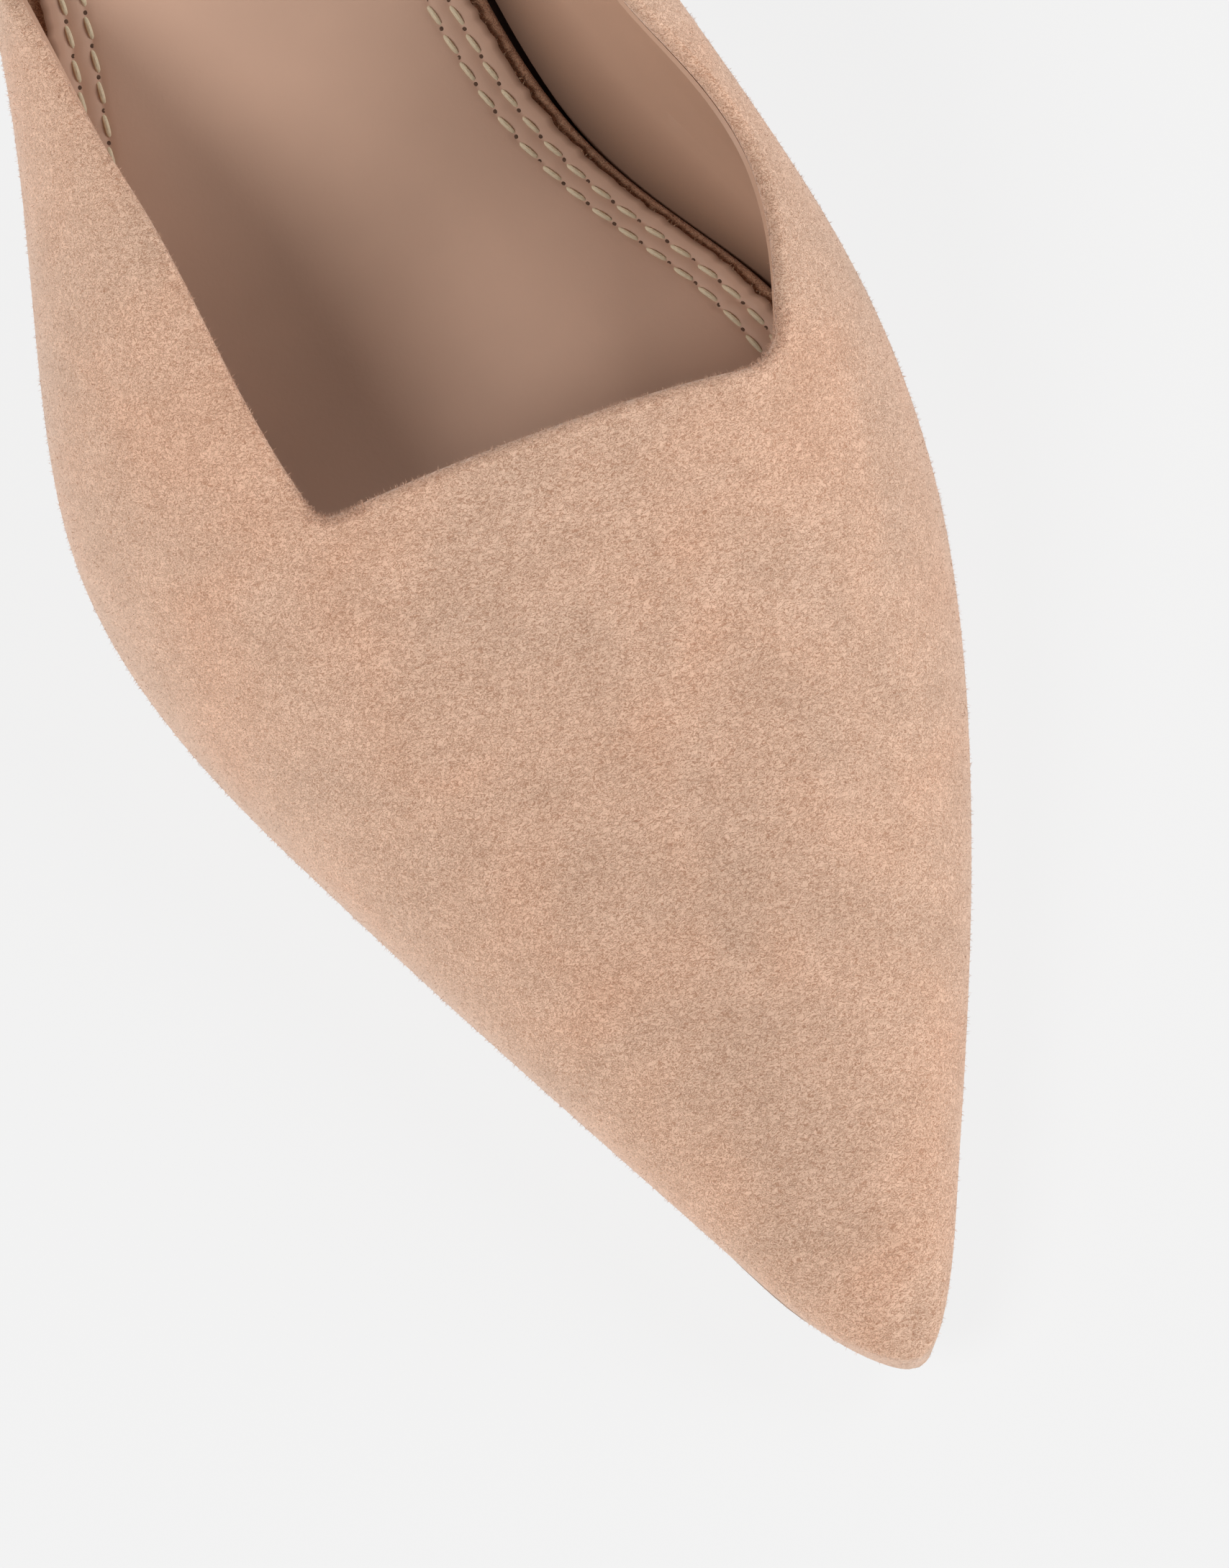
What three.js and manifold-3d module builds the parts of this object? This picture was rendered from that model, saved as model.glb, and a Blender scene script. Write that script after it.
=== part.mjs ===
// High heel pump, right shoe, size EU 38: a pointed suede vamp with a square throat, an open waist, a closed heel
// cup and a covered stiletto heel. Millimetres, +Z up, toe towards -Y, inner side of the foot towards +X.
// Stations are distances from the toe tip along +Y. Heights start from the feather line, where the upper turns
// under the insole.

import * as THREE from "three";
import { mergeVertices } from "three/addons/utils/BufferGeometryUtils.js";
import Module from "manifold-3d";

const { clamp, degToRad, lerp, radToDeg, smoothstep } = THREE.MathUtils;
const wasm = await Module();
wasm.setup();

// ---- Driving dimensions ----
const LENGTH = 238; // toe tip to the back of the heel cup, seen from above
const BALL_WIDTH = 82.4;
const HEEL_RISE = 87.2; // feather line at the back of the heel above the feather line at the tread
const HEEL_CENTRE = 205; // station where the heel's curve starts
const HEEL_MIDDLE = -6; // the heel's middle line lies towards the outer side
const CLEARANCE = 0.3; // glue line between pieces that lie on each other
const LAYER_GAP = 0.25; // glue line between the layers of the upper

const SUEDE = 0.8;
const STIFFENER = 0.4;
const LINING = 0.6;
const UNDERCUT = 1.5; // how far the feather line lies inside the widest line
const MARGIN = 10; // lasting margin turned under the insole
const TAPE_WIDTH = 5;
const TOE_PUFF_LENGTH = 45;

const SOLE = 3;
const WAIST_SOLE = 2.2;
const SOLE_INSET = 2.6;
const BOARD = 1.4;
const BOARD_INSET = 5.4;
const FOAM = 1;
const FOAM_INSET = 16;
const SOCK = 0.7;
const STITCH_LINES = [2.1, 4.2]; // distance of each thread row from the sock's raw edge
const THREAD = 0.6;
const WRAP = 0.6;
const WRAP_LEG = 6;
const WRAP_SHOWING = 1.8; // suede edge left showing beside the sock
const WRAP_ENDS = [98, 187];

const SHANK_WIDTH = 11;
const SHANK = 1.5;
const SHANK_ENDS = [100, 216];
const FILLER_INSET = 19;
const FILLER_END = 97;

const WING_END = 174; // where the vamp's wings meet the insole
const THROAT_CORNERS = { outer: [93.6, 30.8], inner: [91.2, 31.6] }; // station and angle from the ridge
const CUP_FRONT = 190;
const CUP_HEIGHT = 57;

const HEEL_BREAST = 193;
const HEEL_COVER = 0.8;
const TIP_HEIGHT = 5.5;
const TIP_HALF_WIDTH = 5;
const TIP_FRONT = 219.3;
const TIP_BACK = 229.8;
const TUBE_RADIUS = 2.4;
const TUBE_WALL = 1;
const TUBE_TOP = 52;
const PIN_RADIUS = 1.1;
const PIN_FOOT = 1.8;
const PIN_TOP = 24;

const HEAD_HEIGHT = 0.8;
const NAIL = { shaft: 0.8, head: 2, length: 15 };
const SCREW = { shaft: 1.9, head: 3.4, length: 19 };
const RIVET = { shaft: 1.6, head: 3, length: 3.4 };
const NAIL_PLACES = [[-10, 201], [10, 201], [-9, 219], [9, 219]]; // from the heel's middle line, station
const SCREW_STATION = 210;
const RIVET_STATIONS = { front: 112, back: 184 };

// Half-widths of the outline at stations from the toe tip, as shares of the width at the ball of the foot
const OUTER_WIDTHS = [
  [0, 0], [2, 0.046], [8, 0.104], [18, 0.159], [32, 0.231], [50, 0.322], [70, 0.419], [90, 0.504],
  [110, 0.535], [130, 0.473], [150, 0.398], [172, 0.371], [190, 0.379], [205, 0.388],
];
const INNER_WIDTHS = [
  [0, 0], [2, 0.037], [8, 0.087], [18, 0.153], [32, 0.243], [50, 0.348], [70, 0.443], [90, 0.496],
  [110, 0.479], [130, 0.4], [150, 0.316], [172, 0.255], [190, 0.238], [205, 0.243],
];

// ---- Curves of the last ----
// Natural cubic spline through [x, y] knots, straight beyond its ends
function spline(knots) {
  const last = knots.length - 1;
  const gap = knots.slice(1).map(([x], i) => x - knots[i][0]);
  const rise = knots.slice(1).map(([, y], i) => (y - knots[i][1]) / gap[i]);
  const share = [0];
  const load = [0];
  for (let i = 1; i < last; i++) {
    const pivot = 2 * (gap[i - 1] + gap[i]) - gap[i - 1] * share[i - 1];
    share.push(gap[i] / pivot);
    load.push((6 * (rise[i] - rise[i - 1]) - gap[i - 1] * load[i - 1]) / pivot);
  }
  const bend = new Array(last + 1).fill(0);
  for (let i = last - 1; i > 0; i--) bend[i] = load[i] - share[i] * bend[i + 1];
  const startSlope = rise[0] - (gap[0] * bend[1]) / 6;
  const endSlope = rise[last - 1] + (gap[last - 1] * bend[last - 1]) / 6;
  return (x) => {
    if (x <= knots[0][0]) return knots[0][1] + startSlope * (x - knots[0][0]);
    if (x >= knots[last][0]) return knots[last][1] + endSlope * (x - knots[last][0]);
    const i = knots.findIndex(([k]) => k > x) - 1;
    const after = x - knots[i][0];
    const before = knots[i + 1][0] - x;
    const low = (knots[i][1] / gap[i] - (bend[i] * gap[i]) / 6) * before;
    const high = (knots[i + 1][1] / gap[i] - (bend[i + 1] * gap[i]) / 6) * after;
    return low + high + (bend[i] * before ** 3 + bend[i + 1] * after ** 3) / (6 * gap[i]);
  };
}

// A pair of curves, picked by side: -1 is the outer side of the foot and 1 the inner
const bySide = (outer, inner) => (side, station) => (side < 0 ? outer : inner)(station);
// The widths are splined over the root of the station, which rounds the toe tip
const rooted = (knots) => spline(knots.map(([station, share]) => [Math.sqrt(station), share * BALL_WIDTH]));
const halfWidth = bySide(rooted(OUTER_WIDTHS), rooted(INNER_WIDTHS));
const wallHeight = bySide(
  spline([[0, 6.5], [60, 8], [100, 9], [130, 11], [180, 12]]),
  spline([[0, 6.5], [60, 8], [90, 9], [110, 13], [125, 18], [145, 21], [180, 16]]),
);
// How far the insole is cut in at the waist, mostly under the arch of the foot
const waistCurve = bySide(
  spline([[95, 0], [130, -0.5], [155, -1.2], [180, -0.5], [205, 0]]),
  spline([[95, 0], [104, 0.5], [111, 1.9], [118, 4.6], [124.5, 7], [131, 8.2], [140, 7.9], [150, 6.4],
    [165, 3.8], [180, 1.7], [195, 0.4], [205, 0]]),
);
const TREAD_LINE = 3.3; // height of the feather line over the tread
const climb = (share) => TREAD_LINE + share * HEEL_RISE;
const feather = spline([
  [0, 7.5], [20, 5.6], [45, 4], [62, 3.3], [75, 3.2], [88, 3.4], [100, climb(0.025)], [115, climb(0.08)],
  [135, climb(0.214)], [155, climb(0.398)], [175, climb(0.595)], [195, climb(0.771)], [215, climb(0.903)],
  [238, climb(1)],
]);
// Height of the ridge of the instep above the feather line
const instep = spline([
  [0, 4.9], [12, 11.2], [30, 18], [50, 24.7], [70, 31.8], [90, 40], [110, 43.6], [135, 40], [165, 29.4],
]);
// Angle of the wings' top edges: 0 at the ridge, 90 at the widest line, 180 at the feather line
const wingAngle = bySide(
  spline([[93.6, 30.8], [104, 31.6], [117, 33.8], [127, 38.8], [137, 48.2], [149, 63.3], [159, 84],
    [167, 109], [174, 130]]),
  spline([[91.2, 31.6], [98, 37.8], [103, 43.2], [110, 50.6], [116, 55.2], [121, 54.2], [128, 47],
    [142, 55], [155, 80], [166, 115], [174, 140]]),
);

// Heights of the pieces in the bottom: depths above the feather line are measured square to its slope
const slopeAt = (station) => feather(station + 0.5) - feather(station - 0.5);
const level = (station, depth) => feather(station) + depth * Math.hypot(1, slopeAt(station));
const soleDepth = (station) => -CLEARANCE - lerp(SOLE, WAIST_SOLE, smoothstep(station, 100, 125));
const soleTop = (station) => level(station, -CLEARANCE);
const soleBottom = (station) => Math.max(0, level(station, soleDepth(station)));
const heelTop = (station) => level(station, soleDepth(station) - CLEARANCE);
const UPPER = SUEDE + STIFFENER + LINING + 2 * LAYER_GAP;
const BOARD_BOTTOM = UPPER + 2 * LAYER_GAP;
const BOARD_TOP = BOARD_BOTTOM + BOARD;
const SOCK_BOTTOM = BOARD_TOP + 2 * LAYER_GAP + FOAM;
const SOCK_TOP = SOCK_BOTTOM + SOCK;
const boardBottom = (station) => level(station, BOARD_BOTTOM);
const boardTop = (station) => level(station, BOARD_TOP);

// ---- Plan outlines ----
const HEEL_ROUNDNESS = 2.2;
function outlineX(station, side) {
  const width = side * halfWidth(side, Math.sqrt(clamp(station, 0, HEEL_CENTRE)));
  const along = clamp((station - HEEL_CENTRE) / (LENGTH - HEEL_CENTRE), 0, 1);
  const rounding = (1 - along ** HEEL_ROUNDNESS) ** (1 / HEEL_ROUNDNESS);
  return along > 0 ? HEEL_MIDDLE + (width - HEEL_MIDDLE) * rounding : width;
}

const waistCut = (station, side) => (station > 95 && station < 205 ? waistCurve(side, station) : 0);

// The outline moved inwards: shifted back from both ends, drawn in at the sides and cut in at the waist
function edgeX(station, side, inset) {
  const shift = inset * (1 - smoothstep(station, 30, 110) - smoothstep(station, 190, 215));
  const fromToe = clamp((station - inset) / 50, 0, 1);
  const fromBack = clamp((LENGTH - inset - station) / 15, 0, 1);
  const drawn = inset * Math.min(fromToe, fromBack) + waistCut(station, side);
  return outlineX(station - shift, side) - side * drawn;
}
const middleX = (station, inset) => (edgeX(station, -1, inset) + edgeX(station, 1, inset)) / 2;

// ---- Solids ----
function meshOf(points, triangles) {
  const geometry = new THREE.BufferGeometry();
  geometry.setAttribute("position", new THREE.Float32BufferAttribute(points.flatMap((p) => p.toArray()), 3));
  const volume = triangles.reduce((sum, [a, b, c]) => {
    const cross = new THREE.Vector3().crossVectors(points[b], points[c]);
    return sum + points[a].dot(cross);
  }, 0);
  const outward = volume > 0 ? triangles : triangles.map(([a, b, c]) => [a, c, b]);
  geometry.setIndex(outward.flat());
  geometry.computeVertexNormals();
  return geometry;
}

// Closed solid between two grids of points with the same rows and columns
function solidBetween(front, back) {
  const rows = front.length;
  const columns = front[0].length;
  const at = (row, column, layer) => (layer * rows + row) * columns + column;
  const triangles = [];
  const quad = (a, b, c, d) => triangles.push([a, b, c], [a, c, d]);
  for (let i = 0; i < rows - 1; i++) {
    for (let j = 0; j < columns - 1; j++) {
      quad(at(i, j, 0), at(i, j + 1, 0), at(i + 1, j + 1, 0), at(i + 1, j, 0));
      quad(at(i, j, 1), at(i + 1, j, 1), at(i + 1, j + 1, 1), at(i, j + 1, 1));
    }
  }
  const border = [];
  for (let j = 0; j < columns - 1; j++) border.push([0, j]);
  for (let i = 0; i < rows - 1; i++) border.push([i, columns - 1]);
  for (let j = columns - 1; j > 0; j--) border.push([rows - 1, j]);
  for (let i = rows - 1; i > 0; i--) border.push([i, 0]);
  border.forEach(([i, j], k) => {
    const [m, n] = border[(k + 1) % border.length];
    quad(at(m, n, 0), at(i, j, 0), at(i, j, 1), at(m, n, 1));
  });
  return meshOf([...front.flat(), ...back.flat()], triangles);
}

// Closed solid through rings of points, each end closed by a fan
function solidOfRings(rings) {
  const count = rings[0].length;
  const triangles = [];
  for (let i = 0; i < rings.length - 1; i++) {
    for (let j = 0; j < count; j++) {
      const [a, b] = [i * count + j, i * count + ((j + 1) % count)];
      triangles.push([a, b, b + count], [a, b + count, a + count]);
    }
  }
  const centres = [rings[0], rings[rings.length - 1]].map((ring) =>
    ring.reduce((sum, p) => sum.add(p), new THREE.Vector3()).divideScalar(count));
  const points = [...rings.flat(), ...centres];
  const top = (rings.length - 1) * count;
  for (let j = 0; j < count; j++) {
    const next = (j + 1) % count;
    triangles.push([next, j, points.length - 2], [top + j, top + next, points.length - 1]);
  }
  return meshOf(points, triangles);
}

function toManifold(geometry) {
  const bare = new THREE.BufferGeometry().setAttribute("position", geometry.getAttribute("position"));
  bare.setIndex(geometry.index);
  const merged = mergeVertices(bare, 1e-4);
  const corners = merged.index.array;
  const kept = [];
  for (let i = 0; i < corners.length; i += 3) {
    const [a, b, c] = corners.slice(i, i + 3);
    if (a !== b && b !== c && c !== a) kept.push(a, b, c);
  }
  const vertProperties = merged.getAttribute("position").array;
  return new wasm.Manifold(new wasm.Mesh({ numProp: 3, vertProperties, triVerts: new Uint32Array(kept) }));
}

function fromManifold(solid) {
  const { vertProperties, triVerts } = solid.getMesh();
  const geometry = new THREE.BufferGeometry();
  geometry.setAttribute("position", new THREE.BufferAttribute(vertProperties, 3));
  geometry.setIndex(new THREE.BufferAttribute(triVerts, 1));
  geometry.computeVertexNormals();
  return geometry;
}

const cutBy = (geometry, cutters) =>
  fromManifold(cutters.reduce((solid, cutter) => solid.subtract(toManifold(cutter)), toManifold(geometry)));

// Part of a solid between two stations
function between(geometry, from, to) {
  const slab = new THREE.BoxGeometry(2 * LENGTH, to - from, 2 * LENGTH).translate(0, (from + to) / 2, 0);
  return fromManifold(toManifold(geometry).intersect(toManifold(slab)));
}

// ---- Layers of the upper ----
const MARGIN_ROWS = 2; // rows of a column before the one on the feather line
const CREASE_REACH = 12;

// The upper's outside surface as columns of points, each from the edge of the lasting margin over the feather line
// to the topline, with the way each point moves inwards for a layer of unit depth
function upperSurface(grid, core) {
  const facets = grid.slice(1).map((line, i) => line.slice(1).map((corner, j) => {
    const diagonal = new THREE.Vector3().subVectors(corner, grid[i][j]);
    return new THREE.Vector3().subVectors(line[j], grid[i][j + 1]).cross(diagonal).normalize();
  }));
  const [middle, row] = [grid.length >> 1, grid[0].length >> 1];
  const towardsCore = new THREE.Vector3().subVectors(core, grid[middle][row]);
  if (facets[middle][row].dot(towardsCore) < 0) facets.flat().forEach((facet) => facet.negate());

  const facetsRound = (i, j) =>
    facets.slice(Math.max(i - 1, 0), i + 1).flatMap((row) => row.slice(Math.max(j - 1, 0), j + 1));
  const mean = (list) => list.reduce((sum, facet) => sum.add(facet), new THREE.Vector3()).normalize();
  const inward = grid.map((line, i) => {
    const up = mean(facetsRound(i, 0));
    const heightOf = (point) => new THREE.Vector3().subVectors(point, line[MARGIN_ROWS]).dot(up);
    const reach = Math.min(CREASE_REACH, heightOf(line.at(-1)));
    return line.map((point, j) => {
      const around = facetsRound(i, j);
      const normal = mean(around);
      const mitre = 1 / clamp(Math.min(...around.map((facet) => facet.dot(normal))), 0.6, 1);
      // Points just above the crease also move up, to stay clear of its inner corner
      const rise = j > MARGIN_ROWS ? clamp(1 - heightOf(point) / reach, 0, 1) : 0;
      return normal.multiplyScalar(mitre).addScaledVector(up, rise);
    });
  });
  return { grid, inward };
}

// One layer of the upper, from a depth below the outside surface, over some of the rows
function layer({ grid, inward }, depth, thickness, rows = [0, grid[0].length]) {
  const sunk = (by) => grid.map((line, i) =>
    line.map((point, j) => point.clone().addScaledVector(inward[i][j], by)).slice(...rows));
  return solidBetween(sunk(depth), sunk(depth + thickness));
}
const MIDDLE_DEPTH = SUEDE + LAYER_GAP;
const LINING_DEPTH = MIDDLE_DEPTH + STIFFENER + LAYER_GAP;

// ---- Vamp ----
const FULL_WIDTH_REACH = 12;
const TIP_ROUNDING = 4;
const ridgeX = (station) => {
  const [outer, inner] = [outlineX(station, -1), outlineX(station, 1)];
  return (outer + inner) / 2 + 0.06 * (inner - outer) * clamp(station / 60, 0, 1);
};
const fullness = (station) => 0.94 - 0.15 * clamp(station / 100, 0, 1);

// Point of the vamp's outside; the angle runs from the ridge, negative to the outer side
function vampPoint(station, angle) {
  const side = angle < 0 ? -1 : 1;
  const edge = outlineX(station, side);
  const wall = wallHeight(side, station);
  const up = Math.cos(degToRad(angle));
  const base = feather(station) + wall;
  if (up < 0) {
    const tuck = UNDERCUT * Math.min(1, Math.abs(edge) / FULL_WIDTH_REACH) + waistCut(station, side);
    return new THREE.Vector3(edge - side * tuck * (-up) ** 1.5, station, base + wall * up);
  }
  const out = Math.abs(Math.sin(degToRad(angle))) ** fullness(station);
  const crown = (instep(station) - wall) * Math.sqrt(1 - Math.exp(-station / TIP_ROUNDING));
  return new THREE.Vector3(lerp(ridgeX(station), edge, out), station, base + crown * up);
}

function vampAngle(x, station) {
  const ridge = ridgeX(station);
  const side = x < ridge ? -1 : 1;
  const share = clamp((x - ridge) / (outlineX(station, side) - ridge), 0, 1);
  return side * radToDeg(Math.asin(share ** (1 / fullness(station))));
}

// Each column of the vamp has a share: 0 at the toe tip and throat middle, 1 at the wing's end. The columns stand
// closer together round the ball of the foot, where the feather line curves upwards.
const columnBase = spline([[0, 0], [0.12, 5.5], [0.25, 22], [0.38, 48], [0.5, 80], [0.62, 100], [0.78, 124],
  [0.9, 150], [1, WING_END]]);
const CORNER_SHARE = 0.48;
const CROWN_ROWS = 5;
const WALL_PART = 0.45; // part of a column below the widest line
const throatCorner = (side) => (side < 0 ? THROAT_CORNERS.outer : THROAT_CORNERS.inner);
const cornerPoint = (side) => vampPoint(throatCorner(side)[0], side * throatCorner(side)[1]);
const throatMiddle = cornerPoint(-1).lerp(cornerPoint(1), 0.5);

function topline(side, share) {
  if (share < CORNER_SHARE) {
    const { x, y } = throatMiddle.clone().lerp(cornerPoint(side), share / CORNER_SHARE);
    return [y, vampAngle(x, y)];
  }
  const station = lerp(throatCorner(side)[0], WING_END, (share - CORNER_SHARE) / (1 - CORNER_SHARE));
  return [station, side * wingAngle(side, station)];
}

// Parts of a column at its rows: the wall, the crown with its rows closer at first, then the topline tape's band
function rowParts(pathLength) {
  const band = Math.min((TAPE_WIDTH + 1) / pathLength, 0.4);
  const wall = [0, 0.6, 1].map((part) => part * WALL_PART);
  const crown = Array.from({ length: CROWN_ROWS }, (_, k) =>
    (1 - band) * (1 - Math.cos((Math.PI / 2) * ((k + 1) / CROWN_ROWS))));
  const tape = [1 - (band * TAPE_WIDTH) / (TAPE_WIDTH + 1), 1];
  return [...wall, ...[...crown, ...tape].map((w) => lerp(WALL_PART, 1, w))];
}

function vampColumn(side, share) {
  const base = columnBase(share);
  const [top, topAngle] = topline(side, share);
  const start = vampPoint(base, side * 90);
  const end = vampPoint(top, topAngle);
  const straight = 1 - smoothstep(share, CORNER_SHARE, 0.8); // columns are straight in plan over the toe
  const wall = rowParts(start.distanceTo(end)).map((part) => {
    let [station, angle] = [base, side * (180 - (90 * part) / WALL_PART)];
    if (part > WALL_PART) {
      const w = (part - WALL_PART) / (1 - WALL_PART);
      station = lerp(base, top, w);
      angle = vampAngle(lerp(start.x, end.x, w), station);
    }
    return vampPoint(
      lerp(lerp(base, top, part), station, straight),
      lerp(lerp(side * 180, topAngle, part), angle, straight),
    );
  });
  return [...vampMargin(wall[0]), ...wall];
}

// Lasting margin: from the feather line inwards, towards the middle line and back from the toe
function vampMargin(crease) {
  const ahead = 14 * (1 - smoothstep(crease.y, 10, 60));
  const inwards = new THREE.Vector2(middleX(crease.y, UNDERCUT) - crease.x, ahead);
  const reach = Math.min(MARGIN, 0.55 * inwards.length());
  inwards.setLength(reach);
  return [1, 0.5].map((part) => {
    const station = crease.y + part * inwards.y;
    return new THREE.Vector3(crease.x + part * inwards.x, station, feather(station));
  });
}

const HALF_COLUMNS = 18;
const shares = Array.from({ length: HALF_COLUMNS }, (_, k) => 1 - k / HALF_COLUMNS);
const vampGrid = [
  ...shares.map((share) => vampColumn(-1, share)),
  vampColumn(1, 0),
  ...shares.toReversed().map((share) => vampColumn(1, share)),
];
const vamp = upperSurface(vampGrid, new THREE.Vector3(0, 90, 12));

// ---- Heel cup ----
const cupHeight = spline([[190, 0.09], [198, 0.28], [208, 0.56], [220, 0.82], [231, 0.965], [238, 1]]);
const cupBulge = spline([[0, -UNDERCUT], [9, 0], [18, 0.3], [40, -1.2], [57, -3.4]]);
const CUP_PARTS = [0, 0.12, 0.28, 0.46, 0.64, 0.82, 1];

// The cup's outline, from its outer front (-1) round the back (0) to its inner front (1)
function cupOutline(turn) {
  const station = LENGTH - (LENGTH - CUP_FRONT) * Math.abs(turn) ** 1.6;
  return new THREE.Vector2(outlineX(station, turn < 0 ? -1 : 1), station);
}

function cupColumn(turn) {
  const place = cupOutline(turn);
  const along = cupOutline(turn + 0.02).sub(cupOutline(turn - 0.02)).normalize();
  const outwards = new THREE.Vector2(along.y, -along.x);
  if (outwards.y < 0 && Math.abs(turn) < 0.5) outwards.negate();
  if (outwards.x * turn < 0 && Math.abs(turn) >= 0.5) outwards.negate();
  const height = CUP_HEIGHT * cupHeight(place.y);
  const band = Math.min(TAPE_WIDTH + 1, 0.4 * height);
  const levels = [...CUP_PARTS.map((part) => part * (height - band)), height - (band * 5) / 6, height];
  const at = (out, rise) => {
    const station = place.y + outwards.y * out;
    const level = rise > 0 ? feather(place.y) : feather(station);
    return new THREE.Vector3(place.x + outwards.x * out, station, level + rise);
  };
  const margin = [1, 0.5].map((part) => at(-UNDERCUT - part * MARGIN, 0));
  return [...margin, at(-UNDERCUT, 0), ...levels.slice(1).map((rise) => at(cupBulge(rise), rise))];
}

const CUP_COLUMNS = 20;
const cupGrid = Array.from({ length: CUP_COLUMNS + 1 }, (_, k) => cupColumn((2 * k) / CUP_COLUMNS - 1));
const cup = upperSurface(cupGrid, new THREE.Vector3(HEEL_MIDDLE, HEEL_CENTRE, 100));

// ---- Sheets under the foot ----
// Stations that these pieces share, so that their edges run side by side, and closer ones at a piece's own ends
const STEP = 6.5;
function stationsOf(from, to) {
  const ends = [0, 0.7, 2.4, 5.4];
  const shared = Array.from({ length: Math.ceil(LENGTH / STEP) }, (_, k) => k * STEP)
    .filter((station) => station > from + 7 && station < to - 7);
  return [...ends.map((d) => from + d), ...shared, ...ends.toReversed().map((d) => to - d)];
}

function sheet({ stations, inset, parts, top, bottom }) {
  const lift = (height) => stations.map((station) => {
    const [outer, inner] = [edgeX(station, -1, inset), edgeX(station, 1, inset)];
    return Array.from({ length: parts + 1 }, (_, k) =>
      new THREE.Vector3(lerp(outer, inner, k / parts), station, height(station)));
  });
  return solidBetween(lift(top), lift(bottom));
}
const toHeel = (start, inset) => stationsOf(start, LENGTH - inset - 0.25);
const SOCK_INSET = BOARD_INSET - WRAP - LAYER_GAP + WRAP_SHOWING;

// Thread row: a flat ribbon along a line inside the sock's edge, from the toe round the heel and back
function threadRow(distance) {
  const inset = SOCK_INSET + distance;
  const stations = toHeel(24, inset);
  const path = [...stations.map((s) => [-1, s]), ...stations.toReversed().map((s) => [1, s])];
  const places = path.map(([side, s]) => new THREE.Vector2(edgeX(s, side, inset), s));
  const edges = places.map((place, k) => {
    const along = places[Math.min(k + 1, places.length - 1)].clone().sub(places[Math.max(k - 1, 0)]);
    const across = new THREE.Vector2(-along.y, along.x).setLength(THREAD / 2);
    return [place.clone().add(across), place.clone().sub(across)];
  });
  const lift = (above) => edges.map((pair) =>
    pair.map(({ x, y }) => new THREE.Vector3(x, y, level(y, SOCK_TOP + above))));
  return solidBetween(lift(CLEARANCE + THREAD / 2), lift(CLEARANCE));
}

// Suede strip round the insole's edge at the waist; in the open waist it reaches down to the sole
function wrapStrip(side) {
  const section = (station) => {
    const edge = edgeX(station, side, BOARD_INSET);
    const open = smoothstep(station, WING_END + 1, WING_END + 5);
    const foot = lerp(BOARD_BOTTOM, 0, open);
    const at = (out, depth) => new THREE.Vector3(edge + side * out, station, level(station, depth));
    const turned = (out) =>
      [at(-WRAP_LEG, BOARD_TOP + out), at(0, BOARD_TOP + out), at(out, BOARD_TOP), at(out, foot)];
    return { front: turned(LAYER_GAP + WRAP), back: turned(LAYER_GAP) };
  };
  const sections = stationsOf(...WRAP_ENDS).map(section);
  return solidBetween(sections.map((s) => s.front), sections.map((s) => s.back));
}

function shankBar() {
  const rows = stationsOf(...SHANK_ENDS).map((station) => {
    const fromEnd = Math.min(station - SHANK_ENDS[0], SHANK_ENDS[1] - station);
    const half = (SHANK_WIDTH / 2) * lerp(0.6, 1, smoothstep(fromEnd, 0, 8));
    return [-half, 0, half].map((off) => [middleX(station, BOARD_INSET) + off, station]);
  });
  const lift = (drop) => rows.map((row) =>
    row.map(([x, station]) => new THREE.Vector3(x, station, level(station, UPPER - drop))));
  return solidBetween(lift(0), lift(SHANK));
}

// ---- Heel ----
const HEEL_TOP_HALF = (BALL_WIDTH * (OUTER_WIDTHS.at(-1)[1] + INNER_WIDTHS.at(-1)[1])) / 2 - SOLE_INSET;
const HEEL_TOP_BACK = LENGTH - SOLE_INSET;
// Shares of the way from the heel's tip to its seat, at shares of its height
const heelWidthShare = spline([[0, 0], [0.15, 0.01], [0.35, 0.065], [0.55, 0.196], [0.75, 0.46], [0.9, 0.79], [1, 1]]);
const heelFrontShare = spline([[0, 0], [0.15, 0.03], [0.35, 0.09], [0.55, 0.17], [0.7, 0.27], [0.85, 0.5], [1, 1]]);
const heelBackShare = spline([[0, 0], [0.15, -0.03], [0.35, 0], [0.55, 0.12], [0.75, 0.4], [0.9, 0.75], [1, 1]]);
const HEEL_LEVELS = [0, 0.1, 0.22, 0.36, 0.5, 0.62, 0.73, 0.82, 0.9, 0.96, 1];
const HEEL_SIDES = 12;
const HEEL_FOOT = TIP_HEIGHT + CLEARANCE;

// D-shaped outline of the heel, from the middle of its flat breast round the back to the breast again
function heelLoop(level, grow) {
  const half = lerp(TIP_HALF_WIDTH, HEEL_TOP_HALF, heelWidthShare(level)) + grow;
  const front = lerp(TIP_FRONT, HEEL_BREAST, heelFrontShare(level)) - grow;
  const back = lerp(TIP_BACK, HEEL_TOP_BACK, heelBackShare(level)) + grow;
  const round = Array.from({ length: HEEL_SIDES + 1 }, (_, k) => {
    const turn = (Math.PI * k) / HEEL_SIDES;
    return [-Math.cos(turn) * half, lerp(front, back, Math.sin(turn) ** 0.8)];
  });
  const slit = CLEARANCE;
  return [[-slit, front], [-half / 2, front], ...round, [half / 2, front], [slit, front]];
}
const heelRing = (level, grow) => heelLoop(level, grow).map(([x, y]) =>
  new THREE.Vector3(HEEL_MIDDLE + x, y, lerp(HEEL_FOOT, heelTop(y), level)));

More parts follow.
